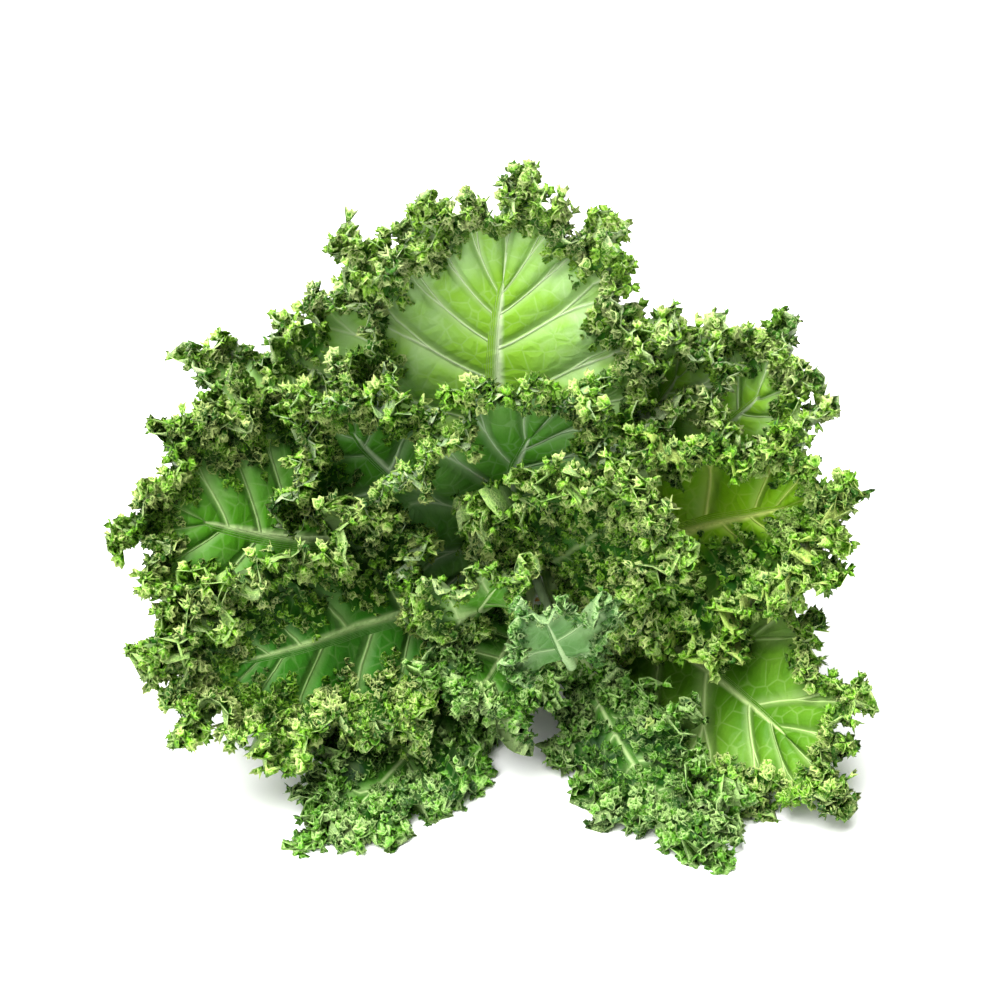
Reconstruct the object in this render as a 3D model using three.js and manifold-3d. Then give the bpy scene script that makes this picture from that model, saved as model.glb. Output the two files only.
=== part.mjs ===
// A bunch of curly kale lying on a surface: leaves with ruffled edges whose stalks run back through one band.
// Millimetres, +Z up. The leaf tips fan out to -Y, the cut stalk ends lie at +Y, and the surface is z = 0.
import * as THREE from "three";
import { mergeVertices } from "three/addons/utils/BufferGeometryUtils.js";
import Module from "manifold-3d";

const wasm = await Module();
wasm.setup();

// ---- Driving dimensions ----
const BLADE_THICKNESS = 0.9;
const STALK = { radius: 4.4, tip: 0.9, sides: 6, rings: 8 };
const STALK_OUT = 0.5; // share of the blade along which the midrib stands out
const STALK_SINK = 0.5; // share of its radius that the midrib lies behind the blade
const LANE_GAP = 10; // spacing of the stalks inside the band
const SIMPLER = 0.02; // how far a cut surface may move when its slivers are merged
const CLEAR = 0.3; // gap kept where two pieces would meet
const BAND = { width: 8, thickness: 1.6, sides: 28, place: 0.5 }; // place: share of the way to the cut ends
const BUNCH = {
  cut: [0, 150, 19.6], // middle of the cut stalk ends
  band: [0, 68, 47], // middle of the bundle where the stalks start to spread
  focus: [0, -170, 130], // the point that the upper faces of the leaves turn to
  footing: [23, -9, 0], // moves the whole bunch so that it stands round the origin
};
const FLAT_SIDE = Math.cos(Math.PI / STALK.sides); // a stalk's flat side over its radius
const SPLAY_START = 45; // how strongly a stalk keeps straight on where it leaves the bundle

// The blade laid flat.
const MIDRIB_SHARE = 0.72; // share of the blade's length that the midrib runs
const BASE = 0.04; // where the blade's edge leaves the stalk
const BASE_FADE = 0.06; // share of the edge over which the ruffles fade out at the stalk
const EDGE_BOW = 1.2; // how the side veins bow towards the tip
const LOBE = { share: 0.1, start: 0.3 }; // the lobes reach this share further out and in

// Ruffles: the margin rolls up, with waves in two sizes. Start is the share of the way from midrib to edge.
const ROLL_START = 0.44;
const WAVE_LENGTH = 44;
const LARGE_WAVE = { height: 6, start: 0.35, power: 1.3 };
const SMALL_WAVE = { height: 4.5, start: 0.42, power: 1.2, perLarge: 2, shift: 1 };
const DRIFT = [[0.5, 2, 0], [0.4, 5, 0.5]]; // uneven waves: strength, turns round the edge, chance number

// Layering: each leaf is laid behind those before it, as seen from the focus.
const LAYER_GAP = 1.5;
const LAY_TURNS = 8; // how widely a leaf gives way round a leaf before it
const LAY_EASE = 0.9; // how much of that is left at each step away
const LANES_FREE = { from: 45, over: 35 }; // distance from the band where the lanes stop keeping stalks apart
const MAP = { cells: 220, span: 1.6 };
const MARKS = { across: 160, out: 10, stalk: 4 }; // how closely a leaf is marked on the map
const PRESS_EASE = { blade: 10, stalk: 1 }; // how softly a blade or a stalk comes down on the surface

// Each leaf, from the front of the bunch to its back: its lane in the band (ring, and degrees clockwise from
// the top seen from the tips), the point its midrib bends towards, the point its midrib ends at, the blade's
// length and half width, how tightly the blade is cupped, and how many degrees its margin rolls up.
const leafRow = (name, ring, turn, knee, tip, length, half, cup, roll) =>
  ({ name, ring, turn, knee, tip, length, half, cup, roll });
const LEAVES = [
  leafRow("leaf_small_front", 0, 0, [36, -72, 20], [0, -106, 118], 50, 28, 6, 15),
  leafRow("leaf_small_left", 1, -120, [-46, -46, 60], [-8, -62, 114], 66, 28, 6, 50),
  leafRow("leaf_front_middle", 1, 180, [-18, -30, 36], [-34, -88, 52], 112, 38, 3, 60),
  leafRow("leaf_front_right", 1, 120, [40, -70, -10], [90, -130, -5], 134, 35, 3, 50),
  leafRow("leaf_heart_right", 1, 60, [4, -28, 94], [60, -78, 163], 176, 54, 6, 45),
  leafRow("leaf_heart", 1, 0, [-34, -10, 120], [22, -30, 200], 192, 74, 5, 60),
  leafRow("leaf_left_low", 2, -120, [-60, -44, 72], [-183, -84, 63], 193, 62, 4, 80),
  leafRow("leaf_front_left", 2, -150, [-58, -46, -8], [-100, -122, -4], 136, 42, 3, 50),
  leafRow("leaf_heart_left", 1, -60, [-76, 0, 116], [-96, -6, 182], 150, 52, 6, 70),
  leafRow("leaf_right", 2, 90, [90, -10, 108], [152, -35, 141], 170, 65, 6, 80),
  leafRow("leaf_right_low", 2, 120, [70, 0, 42], [142, -104, 20], 170, 52, 4, 50),
  leafRow("leaf_top", 2, 0, [-32, 20, 150], [-6, 44, 262], 190, 86, 4, 55),
  leafRow("leaf_top_right", 2, 30, [60, 25, 130], [74, 30, 188], 125, 46, 5, 50),
  leafRow("leaf_right_high", 2, 60, [84, 30, 116], [120, 24, 178], 132, 46, 5, 60),
  leafRow("leaf_left", 2, -90, [-116, 10, 84], [-195, -16, 125], 170, 82, 6, 70),
  leafRow("leaf_top_left", 2, -30, [-64, 40, 130], [-68, 64, 226], 150, 52, 5, 60),
  leafRow("leaf_left_high", 2, -60, [-110, 36, 102], [-149, 34, 162], 142, 43, 5, 60),
];

// ---- Small helpers ----
const vector = (p) => new THREE.Vector3(...p);
const fraction = (x) => x - Math.floor(x);
const scatter = (n) => fraction(Math.sin(n * 12.9898) * 43758.5453);
const clamped = (x) => Math.min(1, Math.max(0, x));
const ramp = (v, start, power) => Math.pow(Math.max(0, (v - start) / (1 - start)), power);
const stalkRadius = (leaf) => STALK.radius * Math.min(1, 0.35 + leaf.length / 250); // thinner in a short leaf

// ---- Midribs ----
// Where a stalk runs in the bundle: its offset from the bundle's middle, across the bundle's direction.
function laneOffset(leaf) {
  const along = vector(BUNCH.cut).sub(vector(BUNCH.band)).normalize();
  const right = new THREE.Vector3(1, 0, 0);
  const up = new THREE.Vector3().crossVectors(right, along).normalize();
  const angle = THREE.MathUtils.degToRad(leaf.turn);
  const reach = leaf.ring * LANE_GAP;
  return right.multiplyScalar(reach * Math.sin(angle)).addScaledVector(up, reach * Math.cos(angle));
}

// The stalk and midrib as one line: straight from the cut end to the band, then a smooth bend out to the tip.
function midribLine(leaf) {
  const STEPS = 200;
  const offset = laneOffset(leaf);
  const cut = vector(BUNCH.cut).add(offset);
  const band = vector(BUNCH.band).add(offset);
  const ahead = band.clone().sub(cut).setLength(SPLAY_START).add(band);
  const bend = new THREE.CubicBezierCurve3(band, ahead, vector(leaf.knee), vector(leaf.tip));
  const points = [cut, ...bend.getPoints(STEPS)];
  const reach = [0];
  for (let i = 1; i < points.length; i++) {
    reach.push(reach[i - 1] + points[i].distanceTo(points[i - 1]));
  }
  const at = (s) => {
    let i = 1;
    let last = points.length - 1;
    while (i < last) {
      const middle = Math.floor((i + last) / 2);
      if (reach[middle] < s) i = middle + 1;
      else last = middle;
    }
    const share = (s - reach[i - 1]) / (reach[i] - reach[i - 1]);
    return points[i - 1].clone().lerp(points[i], share);
  };
  const length = reach[reach.length - 1];
  return { length, at, base: length - leaf.length };
}

// Point, direction along the midrib, upper-face normal and sideways direction at a distance along the line.
function midribFrame(leaf, s) {
  const STEP = 2;
  const p = leaf.line.at(s);
  const t = leaf.line.at(s + STEP).sub(leaf.line.at(s - STEP)).normalize();
  const n = vector(BUNCH.focus).sub(p);
  n.addScaledVector(t, -n.dot(t)).normalize();
  return { p, t, n, side: new THREE.Vector3().crossVectors(t, n) };
}

// ---- Blades ----
const edgeLength = (leaf) => 2.4 * (leaf.length / 2 + leaf.half); // about the length round the blade
const waveCount = (leaf) => Math.round(edgeLength(leaf) / WAVE_LENGTH);
const columnCount = (leaf) => 2 * waveCount(leaf); // of the inner blade, both sides together
const baseFade = (u) => Math.min(1, Math.min(u, 1 - u) / BASE_FADE);

function wavePhase(leaf, u) {
  let phase = 2 * Math.PI * (waveCount(leaf) * u + scatter(leaf.seed + 0.25));
  for (const [strength, turns, chance] of DRIFT) {
    phase += strength * Math.sin(2 * Math.PI * (turns * u + scatter(leaf.seed + chance)));
  }
  return phase;
}

// The leaf laid flat: u runs round the edge from one side of the base over the tip to the other side, and v
// runs from the midrib to the edge. Gives the places along the leaf and across it.
function flatPoint(leaf, u, v) {
  const turn = 2 * u - 1;
  const q = BASE + (1 - BASE) * (1 - Math.abs(turn));
  const edgeX = leaf.length * (1 - Math.cos(Math.PI * q)) / 2;
  const edgeY = Math.sign(turn) * leaf.half * Math.sin(Math.PI * q);
  const rootX = MIDRIB_SHARE * leaf.length * Math.pow(Math.sin(Math.PI * q / 2), 3);
  const lobe = LOBE.share * Math.cos(wavePhase(leaf, u)) * ramp(v, LOBE.start, 1) * baseFade(u);
  const reach = v * (1 + lobe);
  return [rootX + (edgeX - rootX) * Math.pow(reach, EDGE_BOW), edgeY * reach];
}

// The flat leaf with its margin rolled up: the third number is the height off the leaf.
function rolledPoint(leaf, u, v) {
  const [x, y] = flatPoint(leaf, u, Math.min(v, ROLL_START));
  const [startX, startY] = flatPoint(leaf, u, ROLL_START);
  const [edgeX, edgeY] = flatPoint(leaf, u, 1);
  const width = Math.hypot(edgeX - startX, edgeY - startY);
  const turn = Math.max(0.01, THREE.MathUtils.degToRad(leaf.roll) * baseFade(u));
  const angle = turn * Math.max(0, v - ROLL_START) / (1 - ROLL_START);
  const out = Math.sin(angle) / turn;
  return [x + (edgeX - startX) * out, y + (edgeY - startY) * out, width * (1 - Math.cos(angle)) / turn];
}

// The flat leaf laid along its midrib and cupped across it.
function cuppedPoint(leaf, x, y) {
  const { p, n, side } = midribFrame(leaf, leaf.line.base + x);
  const bend = leaf.cup / 1000;
  p.addScaledVector(side, Math.sin(bend * y) / bend);
  return p.addScaledVector(n, (1 - Math.cos(bend * y)) / bend);
}

function curledPoint(leaf, u, v) {
  const STEP = 1;
  const [x, y, up] = rolledPoint(leaf, u, v);
  const p = cuppedPoint(leaf, x, y);
  if (v <= ROLL_START) return p;
  const alongX = cuppedPoint(leaf, x + STEP, y).sub(cuppedPoint(leaf, x - STEP, y));
  const alongY = cuppedPoint(leaf, x, y + STEP).sub(cuppedPoint(leaf, x, y - STEP));
  const n = alongX.cross(alongY).normalize();
  if (n.dot(midribFrame(leaf, leaf.line.base + x).n) < 0) n.negate();
  return p.addScaledVector(n, up);
}

// A surface moved along its own normal by one size of wave.
function waved(surface, wave, phaseAt) {
  const STEP = 0.002;
  return (leaf, u, v) => {
    const p = surface(leaf, u, v);
    if (v <= wave.start) return p;
    const alongU = surface(leaf, u + STEP, v).sub(surface(leaf, u - STEP, v));
    const alongV = surface(leaf, u, v + STEP).sub(surface(leaf, u, v - STEP));
    const height = wave.height * ramp(v, wave.start, wave.power) * baseFade(u);
    return p.addScaledVector(alongU.cross(alongV).normalize(), height * Math.sin(phaseAt(leaf, u)));
  };
}

const smallPhase = (leaf, u) => SMALL_WAVE.perLarge * wavePhase(leaf, u) + SMALL_WAVE.shift;
const ruffledPoint = waved(waved(curledPoint, LARGE_WAVE, wavePhase), SMALL_WAVE, smallPhase);

// ---- Layering ----
// How far the leaves laid so far reach from the focus, kept by direction. Directions are flattened from a
// sphere round the focus to a square map, and each map cell keeps the furthest distance in it.
const reached = new Float64Array(MAP.cells * MAP.cells);

function mapCell(p) {
  const away = p.clone().sub(vector(BUNCH.focus));
  const distance = away.length();
  away.divideScalar(distance);
  const column = (away.x / (1 + away.y) / MAP.span + 0.5) * MAP.cells;
  const row = (away.z / (1 + away.y) / MAP.span + 0.5) * MAP.cells;
  return [Math.floor(column), Math.floor(row), distance];
}

function mark(p, radius) {
  const [column, row, distance] = mapCell(p);
  for (let i = column - 1; i <= column + 1; i++) {
    for (let k = row - 1; k <= row + 1; k++) {
      const cell = k * MAP.cells + i;
      reached[cell] = Math.max(reached[cell], distance + radius);
    }
  }
}

// How far a point must be laid back to lie clear. Near the band the lanes already keep the stalks apart.
function shortfall(p, radius) {
  const [column, row, distance] = mapCell(p);
  const taken = reached[row * MAP.cells + column];
  if (!taken) return 0;
  const free = clamped((p.distanceTo(vector(BUNCH.band)) - LANES_FREE.from) / LANES_FREE.over);
  return free * Math.max(0, taken + LAYER_GAP + radius - distance);
}

const SPLIT = 4; // outer columns to each inner one
const INNER_ROWS = [0.3, 0.56];
const OUTER_ROWS = [0.78, 1];
const ROWS = [0, ...INNER_ROWS, ...OUTER_ROWS];
const thicknessAt = (leaf, v) => (v === 0 ? stalkRadius(leaf) : BLADE_THICKNESS / 2);

// How far each part of a leaf is laid back so that it clears the leaves before it, by row and column.
function layBack(leaf) {
  const columns = columnCount(leaf);
  const need = ROWS.map(() => new Array(columns + 1).fill(0));
  for (let i = 0; i <= columns * SPLIT; i++) {
    const column = Math.min(columns - 1, Math.floor(i / SPLIT));
    for (let k = 0; k <= MARKS.out; k++) {
      const v = k / MARKS.out;
      const short = shortfall(ruffledPoint(leaf, i / columns / SPLIT, v), thicknessAt(leaf, v));
      for (const row of need.slice(rowUnder(v), rowUnder(v) + 2)) {
        row[column] = Math.max(row[column], short);
        row[column + 1] = Math.max(row[column + 1], short);
      }
    }
  }
  need[0] = evened(need[0]);
  let laid = need;
  for (let turn = 0; turn < LAY_TURNS; turn++) {
    laid = laid.map((row, r) => row.map((_, i) => Math.max(need[r][i], LAY_EASE * nearMean(laid, r, i))));
    laid[0] = evened(laid[0]);
  }
  return laid;
}

// The midrib is met from both sides, so both ends of its row are the same.
const evened = (row) => row.map((d, i) => Math.max(d, row[row.length - 1 - i]));

function nearMean(field, r, i) {
  const near = [field[r][i - 1], field[r][i + 1], field[r - 1]?.[i], field[r + 1]?.[i]];
  const known = near.filter((x) => x !== undefined);
  return known.reduce((sum, x) => sum + x, 0) / known.length;
}

function rowUnder(v) {
  const above = ROWS.findIndex((row, r) => r > 0 && v <= row);
  return above < 0 ? ROWS.length - 2 : above - 1;
}

function laidAt(laid, u, v) {
  const columns = laid[0].length - 1;
  const column = u * columns;
  const i = Math.min(columns - 1, Math.floor(column));
  const r = rowUnder(v);
  const across = column - i;
  const out = (v - ROWS[r]) / (ROWS[r + 1] - ROWS[r]);
  const low = laid[r][i] * (1 - across) + laid[r][i + 1] * across;
  const high = laid[r + 1][i] * (1 - across) + laid[r + 1][i + 1] * across;
  return low * (1 - out) + high * out;
}

// Heights under the surface are laid flat on it, and those just above are eased down to it.
function pressed(z, least, ease) {
  const h = z - least;
  if (h >= ease) return z;
  return h <= -ease ? least : least + (h + ease) ** 2 / (4 * ease);
}

function laidPoint(p, distance, least, ease) {
  const away = p.clone().sub(vector(BUNCH.focus)).normalize();
  p.addScaledVector(away, distance);
  p.z = pressed(p.z, least, ease);
  return p;
}

function bladePoint(leaf, u, v) {
  return laidPoint(ruffledPoint(leaf, u, v), laidAt(leaf.laid, u, v), BLADE_THICKNESS / 2, PRESS_EASE.blade);
}

// How far along the bend out of the bundle a point is, from 0 at the band to 1 where the blade starts.
function bentOut(leaf, s) {
  const bandReach = vector(BUNCH.cut).distanceTo(vector(BUNCH.band));
  return THREE.MathUtils.smoothstep(s, bandReach, Math.max(leaf.line.base, bandReach + 1));
}

// How far back a stalk is laid: nothing at the band, easing to what its blade is laid back by.
function stalkLaid(leaf, s) {
  const along = (s - leaf.line.base) / (MIDRIB_SHARE * leaf.length);
  if (along <= 0) return leaf.laid[0][0] * bentOut(leaf, s);
  const q = Math.asin(Math.min(1, Math.cbrt(along))) * 2 / Math.PI;
  return laidAt(leaf.laid, Math.max(0, (q - BASE) / (1 - BASE)) / 2, 0);
}

function markLeaf(leaf) {
  for (let i = 0; i <= MARKS.across; i++) {
    for (let k = 0; k <= MARKS.out; k++) {
      const v = k / MARKS.out;
      mark(bladePoint(leaf, i / MARKS.across, v), thicknessAt(leaf, v));
    }
  }
  const radius = stalkRadius(leaf);
  for (let s = 0; s < leaf.line.base; s += MARKS.stalk) {
    mark(laidPoint(leaf.line.at(s), stalkLaid(leaf, s), radius, PRESS_EASE.stalk), radius);
  }
}

// ---- Solids ----
// The blade as points and triangles. Its outer rows have more columns, for the waves.
function bladeSheet(leaf) {
  const columns = columnCount(leaf);
  const points = [];
  const triangles = [];
  const place = (u, v) => points.push(bladePoint(leaf, u, v)) - 1;
  const rowAt = (v, count) => Array.from({ length: count + 1 }, (_, i) => place(i / count, v));
  const join = (inner, outer) => {
    for (let i = 0; i < inner.length - 1; i++) {
      if (inner[i] !== inner[i + 1]) triangles.push([inner[i], outer[i + 1], inner[i + 1]]);
      triangles.push([inner[i], outer[i], outer[i + 1]]);
    }
  };
  const midrib = Array.from({ length: columns / 2 + 1 }, (_, i) => place(i / columns, 0));
  let row = Array.from({ length: columns + 1 }, (_, i) => midrib[Math.min(i, columns - i)]);
  for (const v of INNER_ROWS) {
    const next = rowAt(v, columns);
    join(row, next);
    row = next;
  }
  let outer = rowAt(OUTER_ROWS[0], columns * SPLIT);
  for (let i = 0; i < columns; i++) {
    for (let k = 0; k < SPLIT; k++) {
      triangles.push([row[k < SPLIT / 2 ? i : i + 1], outer[i * SPLIT + k], outer[i * SPLIT + k + 1]]);
    }
    triangles.push([row[i], outer[i * SPLIT + SPLIT / 2], row[i + 1]]);
  }
  for (const v of OUTER_ROWS.slice(1)) {
    const next = rowAt(v, columns * SPLIT);
    join(outer, next);
    outer = next;
  }
  return { points, triangles, edge: outer.length };
}

// A sheet made a shell: its middle surface moved to either side, with both faces split alike. Grown, it is
// thicker all over and reaches further at the edge, to cut clear room in a leaf behind it.
function shell(sheet, grown) {
  const points = sheet.points.map((p) => p.clone());
  if (grown) growEdge(points, sheet.edge, grown);
  const normals = points.map(() => new THREE.Vector3());
  for (const [a, b, c] of sheet.triangles) {
    const n = points[b].clone().sub(points[a]).cross(points[c].clone().sub(points[a]));
    for (const k of [a, b, c]) normals[k].add(n);
  }
  normals.forEach((n) => n.setLength(BLADE_THICKNESS / 2 + grown));
  const upper = points.map((p, i) => p.clone().add(normals[i]));
  const skin = [...upper, ...points.map((p, i) => p.clone().sub(normals[i]))];
  const under = sheet.triangles.map(([a, b, c]) => [a + points.length, c + points.length, b + points.length]);
  const rim = rimOf(sheet.triangles).flatMap(([i, j]) => {
    const [below, beside] = [i + points.length, j + points.length];
    return [[i, below, beside], [i, beside, j]];
  });
  return solidOf(grown ? skin : kept(skin), [...sheet.triangles, ...under, ...rim]);
}

// Points under the surface brought up to it.
const kept = (points) => points.map((p) => p.setZ(Math.max(p.z, 0)));

function growEdge(points, edge, grown) {
  const first = points.length - edge;
  for (let i = 0; i < edge; i++) {
    const rim = points[first + i];
    rim.addScaledVector(rim.clone().sub(points[first - edge + i]).normalize(), 2 * grown);
  }
}

// The sides of triangles that no other triangle shares.
function rimOf(triangles) {
  const open = new Map();
  for (const [a, b, c] of triangles) {
    for (const [i, j] of [[a, b], [b, c], [c, a]]) {
      if (!open.delete(`${j} ${i}`)) open.set(`${i} ${j}`, [i, j]);
    }
  }
  return [...open.values()];
}

// The stalk and midrib: rings of points along the line, each turned as little as can be from the one before,
// closed at both ends.
function stalkSolid(leaf, grown) {
  const { sides, rings } = STALK;
  const { base } = leaf.line;
  const end = base + STALK_OUT * leaf.length;
  const points = [];
  const up = new THREE.Vector3(0, 0, 1);
  for (let i = 0; i <= rings; i++) {
    const s = end * i / rings;
    const { p, t, n } = midribFrame(leaf, s);
    up.projectOnPlane(t).normalize();
    const across = new THREE.Vector3().crossVectors(t, up);
    const radius = THREE.MathUtils.lerp(stalkRadius(leaf), STALK.tip, clamped((s - base) / (end - base)));
    p.addScaledVector(n, -STALK_SINK * radius * bentOut(leaf, s));
    laidPoint(p, stalkLaid(leaf, s), radius * FLAT_SIDE, PRESS_EASE.stalk);
    for (let k = 0; k < sides; k++) {
      const angle = 2 * Math.PI * k / sides;
      const out = across.clone().multiplyScalar(Math.cos(angle)).addScaledVector(up, Math.sin(angle));
      points.push(p.clone().addScaledVector(out, radius + grown));
    }
  }
  return solidOf(grown ? points : kept(points), tubeFaces(sides, rings));
}

function tubeFaces(sides, rings) {
  const faces = [];
  for (let a = 0; a < rings * sides; a++) {
    const b = a + 1 - (a % sides === sides - 1 ? sides : 0);
    faces.push([a, a + sides, b + sides], [a, b + sides, b]);
  }
  const last = rings * sides;
  for (let k = 1; k < sides - 1; k++) {
    faces.push([0, k, k + 1], [last, last + k + 1, last + k]);
  }
  return faces;
}

function solidOf(points, faces) {
  const geometry = new THREE.BufferGeometry().setFromPoints(points);
  geometry.setIndex(faces.flat());
  const merged = mergeVertices(geometry, 1e-3);
  return new wasm.Manifold(new wasm.Mesh({
    numProp: 3,
    vertProperties: merged.attributes.position.array,
    triVerts: new Uint32Array(merged.index.array),
  }));
}

// The band round the stalks: a flat ring, square to them.
function bandRing() {
  const inner = 2 * LANE_GAP + STALK.radius + CLEAR;
  const outer = inner + BAND.thickness;
  const half = BAND.width / 2;
  const profile = [[inner, -half], [outer, -half], [outer, half], [inner, half], [inner, -half]];
  const ring = new THREE.LatheGeometry(profile.map((p) => new THREE.Vector2(...p)), BAND.sides);
  const along = vector(BUNCH.cut).sub(vector(BUNCH.band));
  const middle = vector(BUNCH.band).addScaledVector(along, BAND.place);
  const turn = new THREE.Quaternion().setFromUnitVectors(new THREE.Vector3(0, 1, 0), along.normalize());
  return ring.applyQuaternion(turn).translate(...middle.toArray());
}

function meshOf(name, geometry, material) {
  const mesh = new THREE.Mesh(geometry, material);
  mesh.name = name;
  return mesh;
}

function geometryOf(solid) {
  const made = solid.getMesh();
  const geometry = new THREE.BufferGeometry();
  geometry.setAttribute("position", new THREE.BufferAttribute(made.vertProperties.slice(), 3));
  geometry.setIndex(new THREE.BufferAttribute(made.triVerts.slice(), 1));
  return geometry;
}

// ---- The bunch ----
LEAVES.forEach((leaf, i) => {
  leaf.seed = i + 1;
  leaf.line = midribLine(leaf);
  leaf.laid = layBack(leaf);
  markLeaf(leaf);
  const sheet = bladeSheet(leaf);
  leaf.blade = shell(sheet, 0);
  leaf.bladeRoom = shell(sheet, CLEAR).add(leaf.blade);
  leaf.stalk = stalkSolid(leaf, 0);
  leaf.stalkRoom = stalkSolid(leaf, CLEAR);
});

// A leaf gives way to every other stalk, and to the blades before it; scraps cut loose are dropped.
function clearedLeaf(leaf, i) {
  const before = LEAVES.slice(0, i);
  const others = LEAVES.filter((other) => other !== leaf);
  const blade = leaf.blade.subtract(wasm.Manifold.union([
    ...others.map((other) => other.stalkRoom), ...before.map((other) => other.bladeRoom)]));
  const stalk = before.reduce((left, other) => left.subtract(other.stalkRoom), leaf.stalk);
  const bodies = blade.add(stalk).simplify(SIMPLER).decompose();
  return bodies.sort((a, b) => b.volume() - a.volume())[0];
}

const bunch = new THREE.Group();
const leafMaterial = new THREE.MeshStandardMaterial({ color: 0x5f9a2e, roughness: 0.55, metalness: 0 });
const bandMaterial = new THREE.MeshStandardMaterial({ color: 0xb9894f, roughness: 0.7, metalness: 0 });
LEAVES.forEach((leaf, i) => {
  bunch.add(meshOf(leaf.name, geometryOf(clearedLeaf(leaf, i)), leafMaterial));
});
bunch.add(meshOf("tie_band", bandRing(), bandMaterial));
bunch.position.set(...BUNCH.footing);

export default bunch;
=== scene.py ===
# %% [markdown]
# # A bunch of curly kale
# A bunch of kale is seventeen leaves held by one rubber band. Each leaf is a pale stalk that runs
# on as the midrib of a thin blade. The blade is smooth along the midrib and grows far too much
# cloth at its edge, so the edge buckles into frills, and the frills into smaller frills.
#
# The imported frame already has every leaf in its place, with plain large waves. This lesson gives
# each leaf its fine frills, veins and colour, and leaves it where it is.

# %% Load the frame
import math
from dataclasses import dataclass
from types import SimpleNamespace

import bpy
import numpy as np
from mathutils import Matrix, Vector


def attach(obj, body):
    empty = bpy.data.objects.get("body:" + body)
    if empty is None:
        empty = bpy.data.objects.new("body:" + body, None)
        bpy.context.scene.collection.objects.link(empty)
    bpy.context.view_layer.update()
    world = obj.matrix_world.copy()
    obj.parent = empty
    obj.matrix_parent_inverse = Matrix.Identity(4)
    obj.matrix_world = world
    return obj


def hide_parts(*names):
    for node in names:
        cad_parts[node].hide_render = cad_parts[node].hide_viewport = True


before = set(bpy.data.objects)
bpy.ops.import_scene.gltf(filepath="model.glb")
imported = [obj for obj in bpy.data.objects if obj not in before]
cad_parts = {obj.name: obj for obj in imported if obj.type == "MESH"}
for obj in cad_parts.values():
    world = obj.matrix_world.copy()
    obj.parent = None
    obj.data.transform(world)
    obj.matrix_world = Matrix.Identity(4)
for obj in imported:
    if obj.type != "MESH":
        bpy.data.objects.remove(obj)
bpy.ops.object.select_all(action="DESELECT")
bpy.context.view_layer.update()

# %% [markdown]
# ## Small helpers
# All sums are in millimetres and arrays of points, because one leaf has tens of thousands of them.
# A leaf's chance values come from a hash of its number, so each run gives the same leaf.

# %% Helpers for arrays of points
MM = 0.001
WANDER_SHARES = (1.0, 0.7, 0.5)


def unit(a):
    return a / np.maximum(np.linalg.norm(a, axis=-1, keepdims=True), 1e-12)


def scatter(n):
    """A chance value from 0 to 1, always the same for the same number."""
    x = np.sin(n * 12.9898) * 43758.5453
    return x - np.floor(x)


def ramp(v, start, power):
    return np.maximum(0.0, (v - start) / (1 - start)) ** power


def smooth(t):
    t = np.clip(t, 0.0, 1.0)
    return t * t * (3 - 2 * t)


def wander(u, seed, waves):
    """A smooth line that wanders between about -1 and 1, made of a few waves of unlike length."""
    total = 0
    for k, share in enumerate(WANDER_SHARES):
        count = round(waves * (1 + 0.62 * k))
        total = total + share * np.sin(2 * math.pi * (count * u + scatter(seed + 3.7 * k)))
    return total / sum(WANDER_SHARES)


print("scatter(1) =", round(float(scatter(1)), 4))

# %% [markdown]
# ## The leaves
# One row says what makes each leaf its own: its lane in the band, the point that its midrib bends
# towards, the point that it ends at, and the size and cup of its blade. Then come its tint, how far
# its margin rolls up, and how much of the blade stays smooth. The rows go from the front of the
# bunch to its back, because each leaf lies behind those before it.

# %% Sizes of the bunch, in millimetres
CUT = np.array([0.0, 150.0, 19.6])  # middle of the cut ends of the stalks
BAND = np.array([0.0, 68.0, 47.0])  # middle of the bundle where the stalks start to spread
FOCUS = np.array([0.0, -170.0, 130.0])  # the point that the upper faces of the leaves turn to
FOOTING = np.array([23.0, -9.0, 0.0])  # moves the whole bunch so that it stands round the origin
LANE_GAP = 10.0
SPLAY_START = 45.0
BLADE_THICKNESS = 0.9
STALK_RADIUS, STALK_TIP, STALK_SHARE = 4.4, 0.9, 0.5
EDGE_PER_SIZE = 2.4
SMALL_LEAF = 0.35
FULL_FRILL_LENGTH, FULL_STALK_LENGTH = 170, 250
print("length of the tied stalks:", round(float(np.linalg.norm(CUT - BAND))), "mm")

# %% What makes a leaf
@dataclass
class Leaf:
    """Ring and turn give the lane in the band. Turn and roll are in degrees. The cup is 1000 over
    the radius of its bend. Bare is the smooth share of the blade on each of its sides."""
    name: str
    ring: int
    turn: float
    knee: tuple
    tip: tuple
    length: float
    half: float
    cup: float
    tint: str
    roll: float
    bare: tuple
    seed: int

    @property
    def edge(self):
        return EDGE_PER_SIZE * (self.length / 2 + self.half)

    @property
    def fineness(self):
        return min(1, SMALL_LEAF + self.length / FULL_FRILL_LENGTH)

    @property
    def stalk(self):
        return STALK_RADIUS * min(1, SMALL_LEAF + self.length / FULL_STALK_LENGTH)


print("a leaf has", len(Leaf.__dataclass_fields__), "values")

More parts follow.
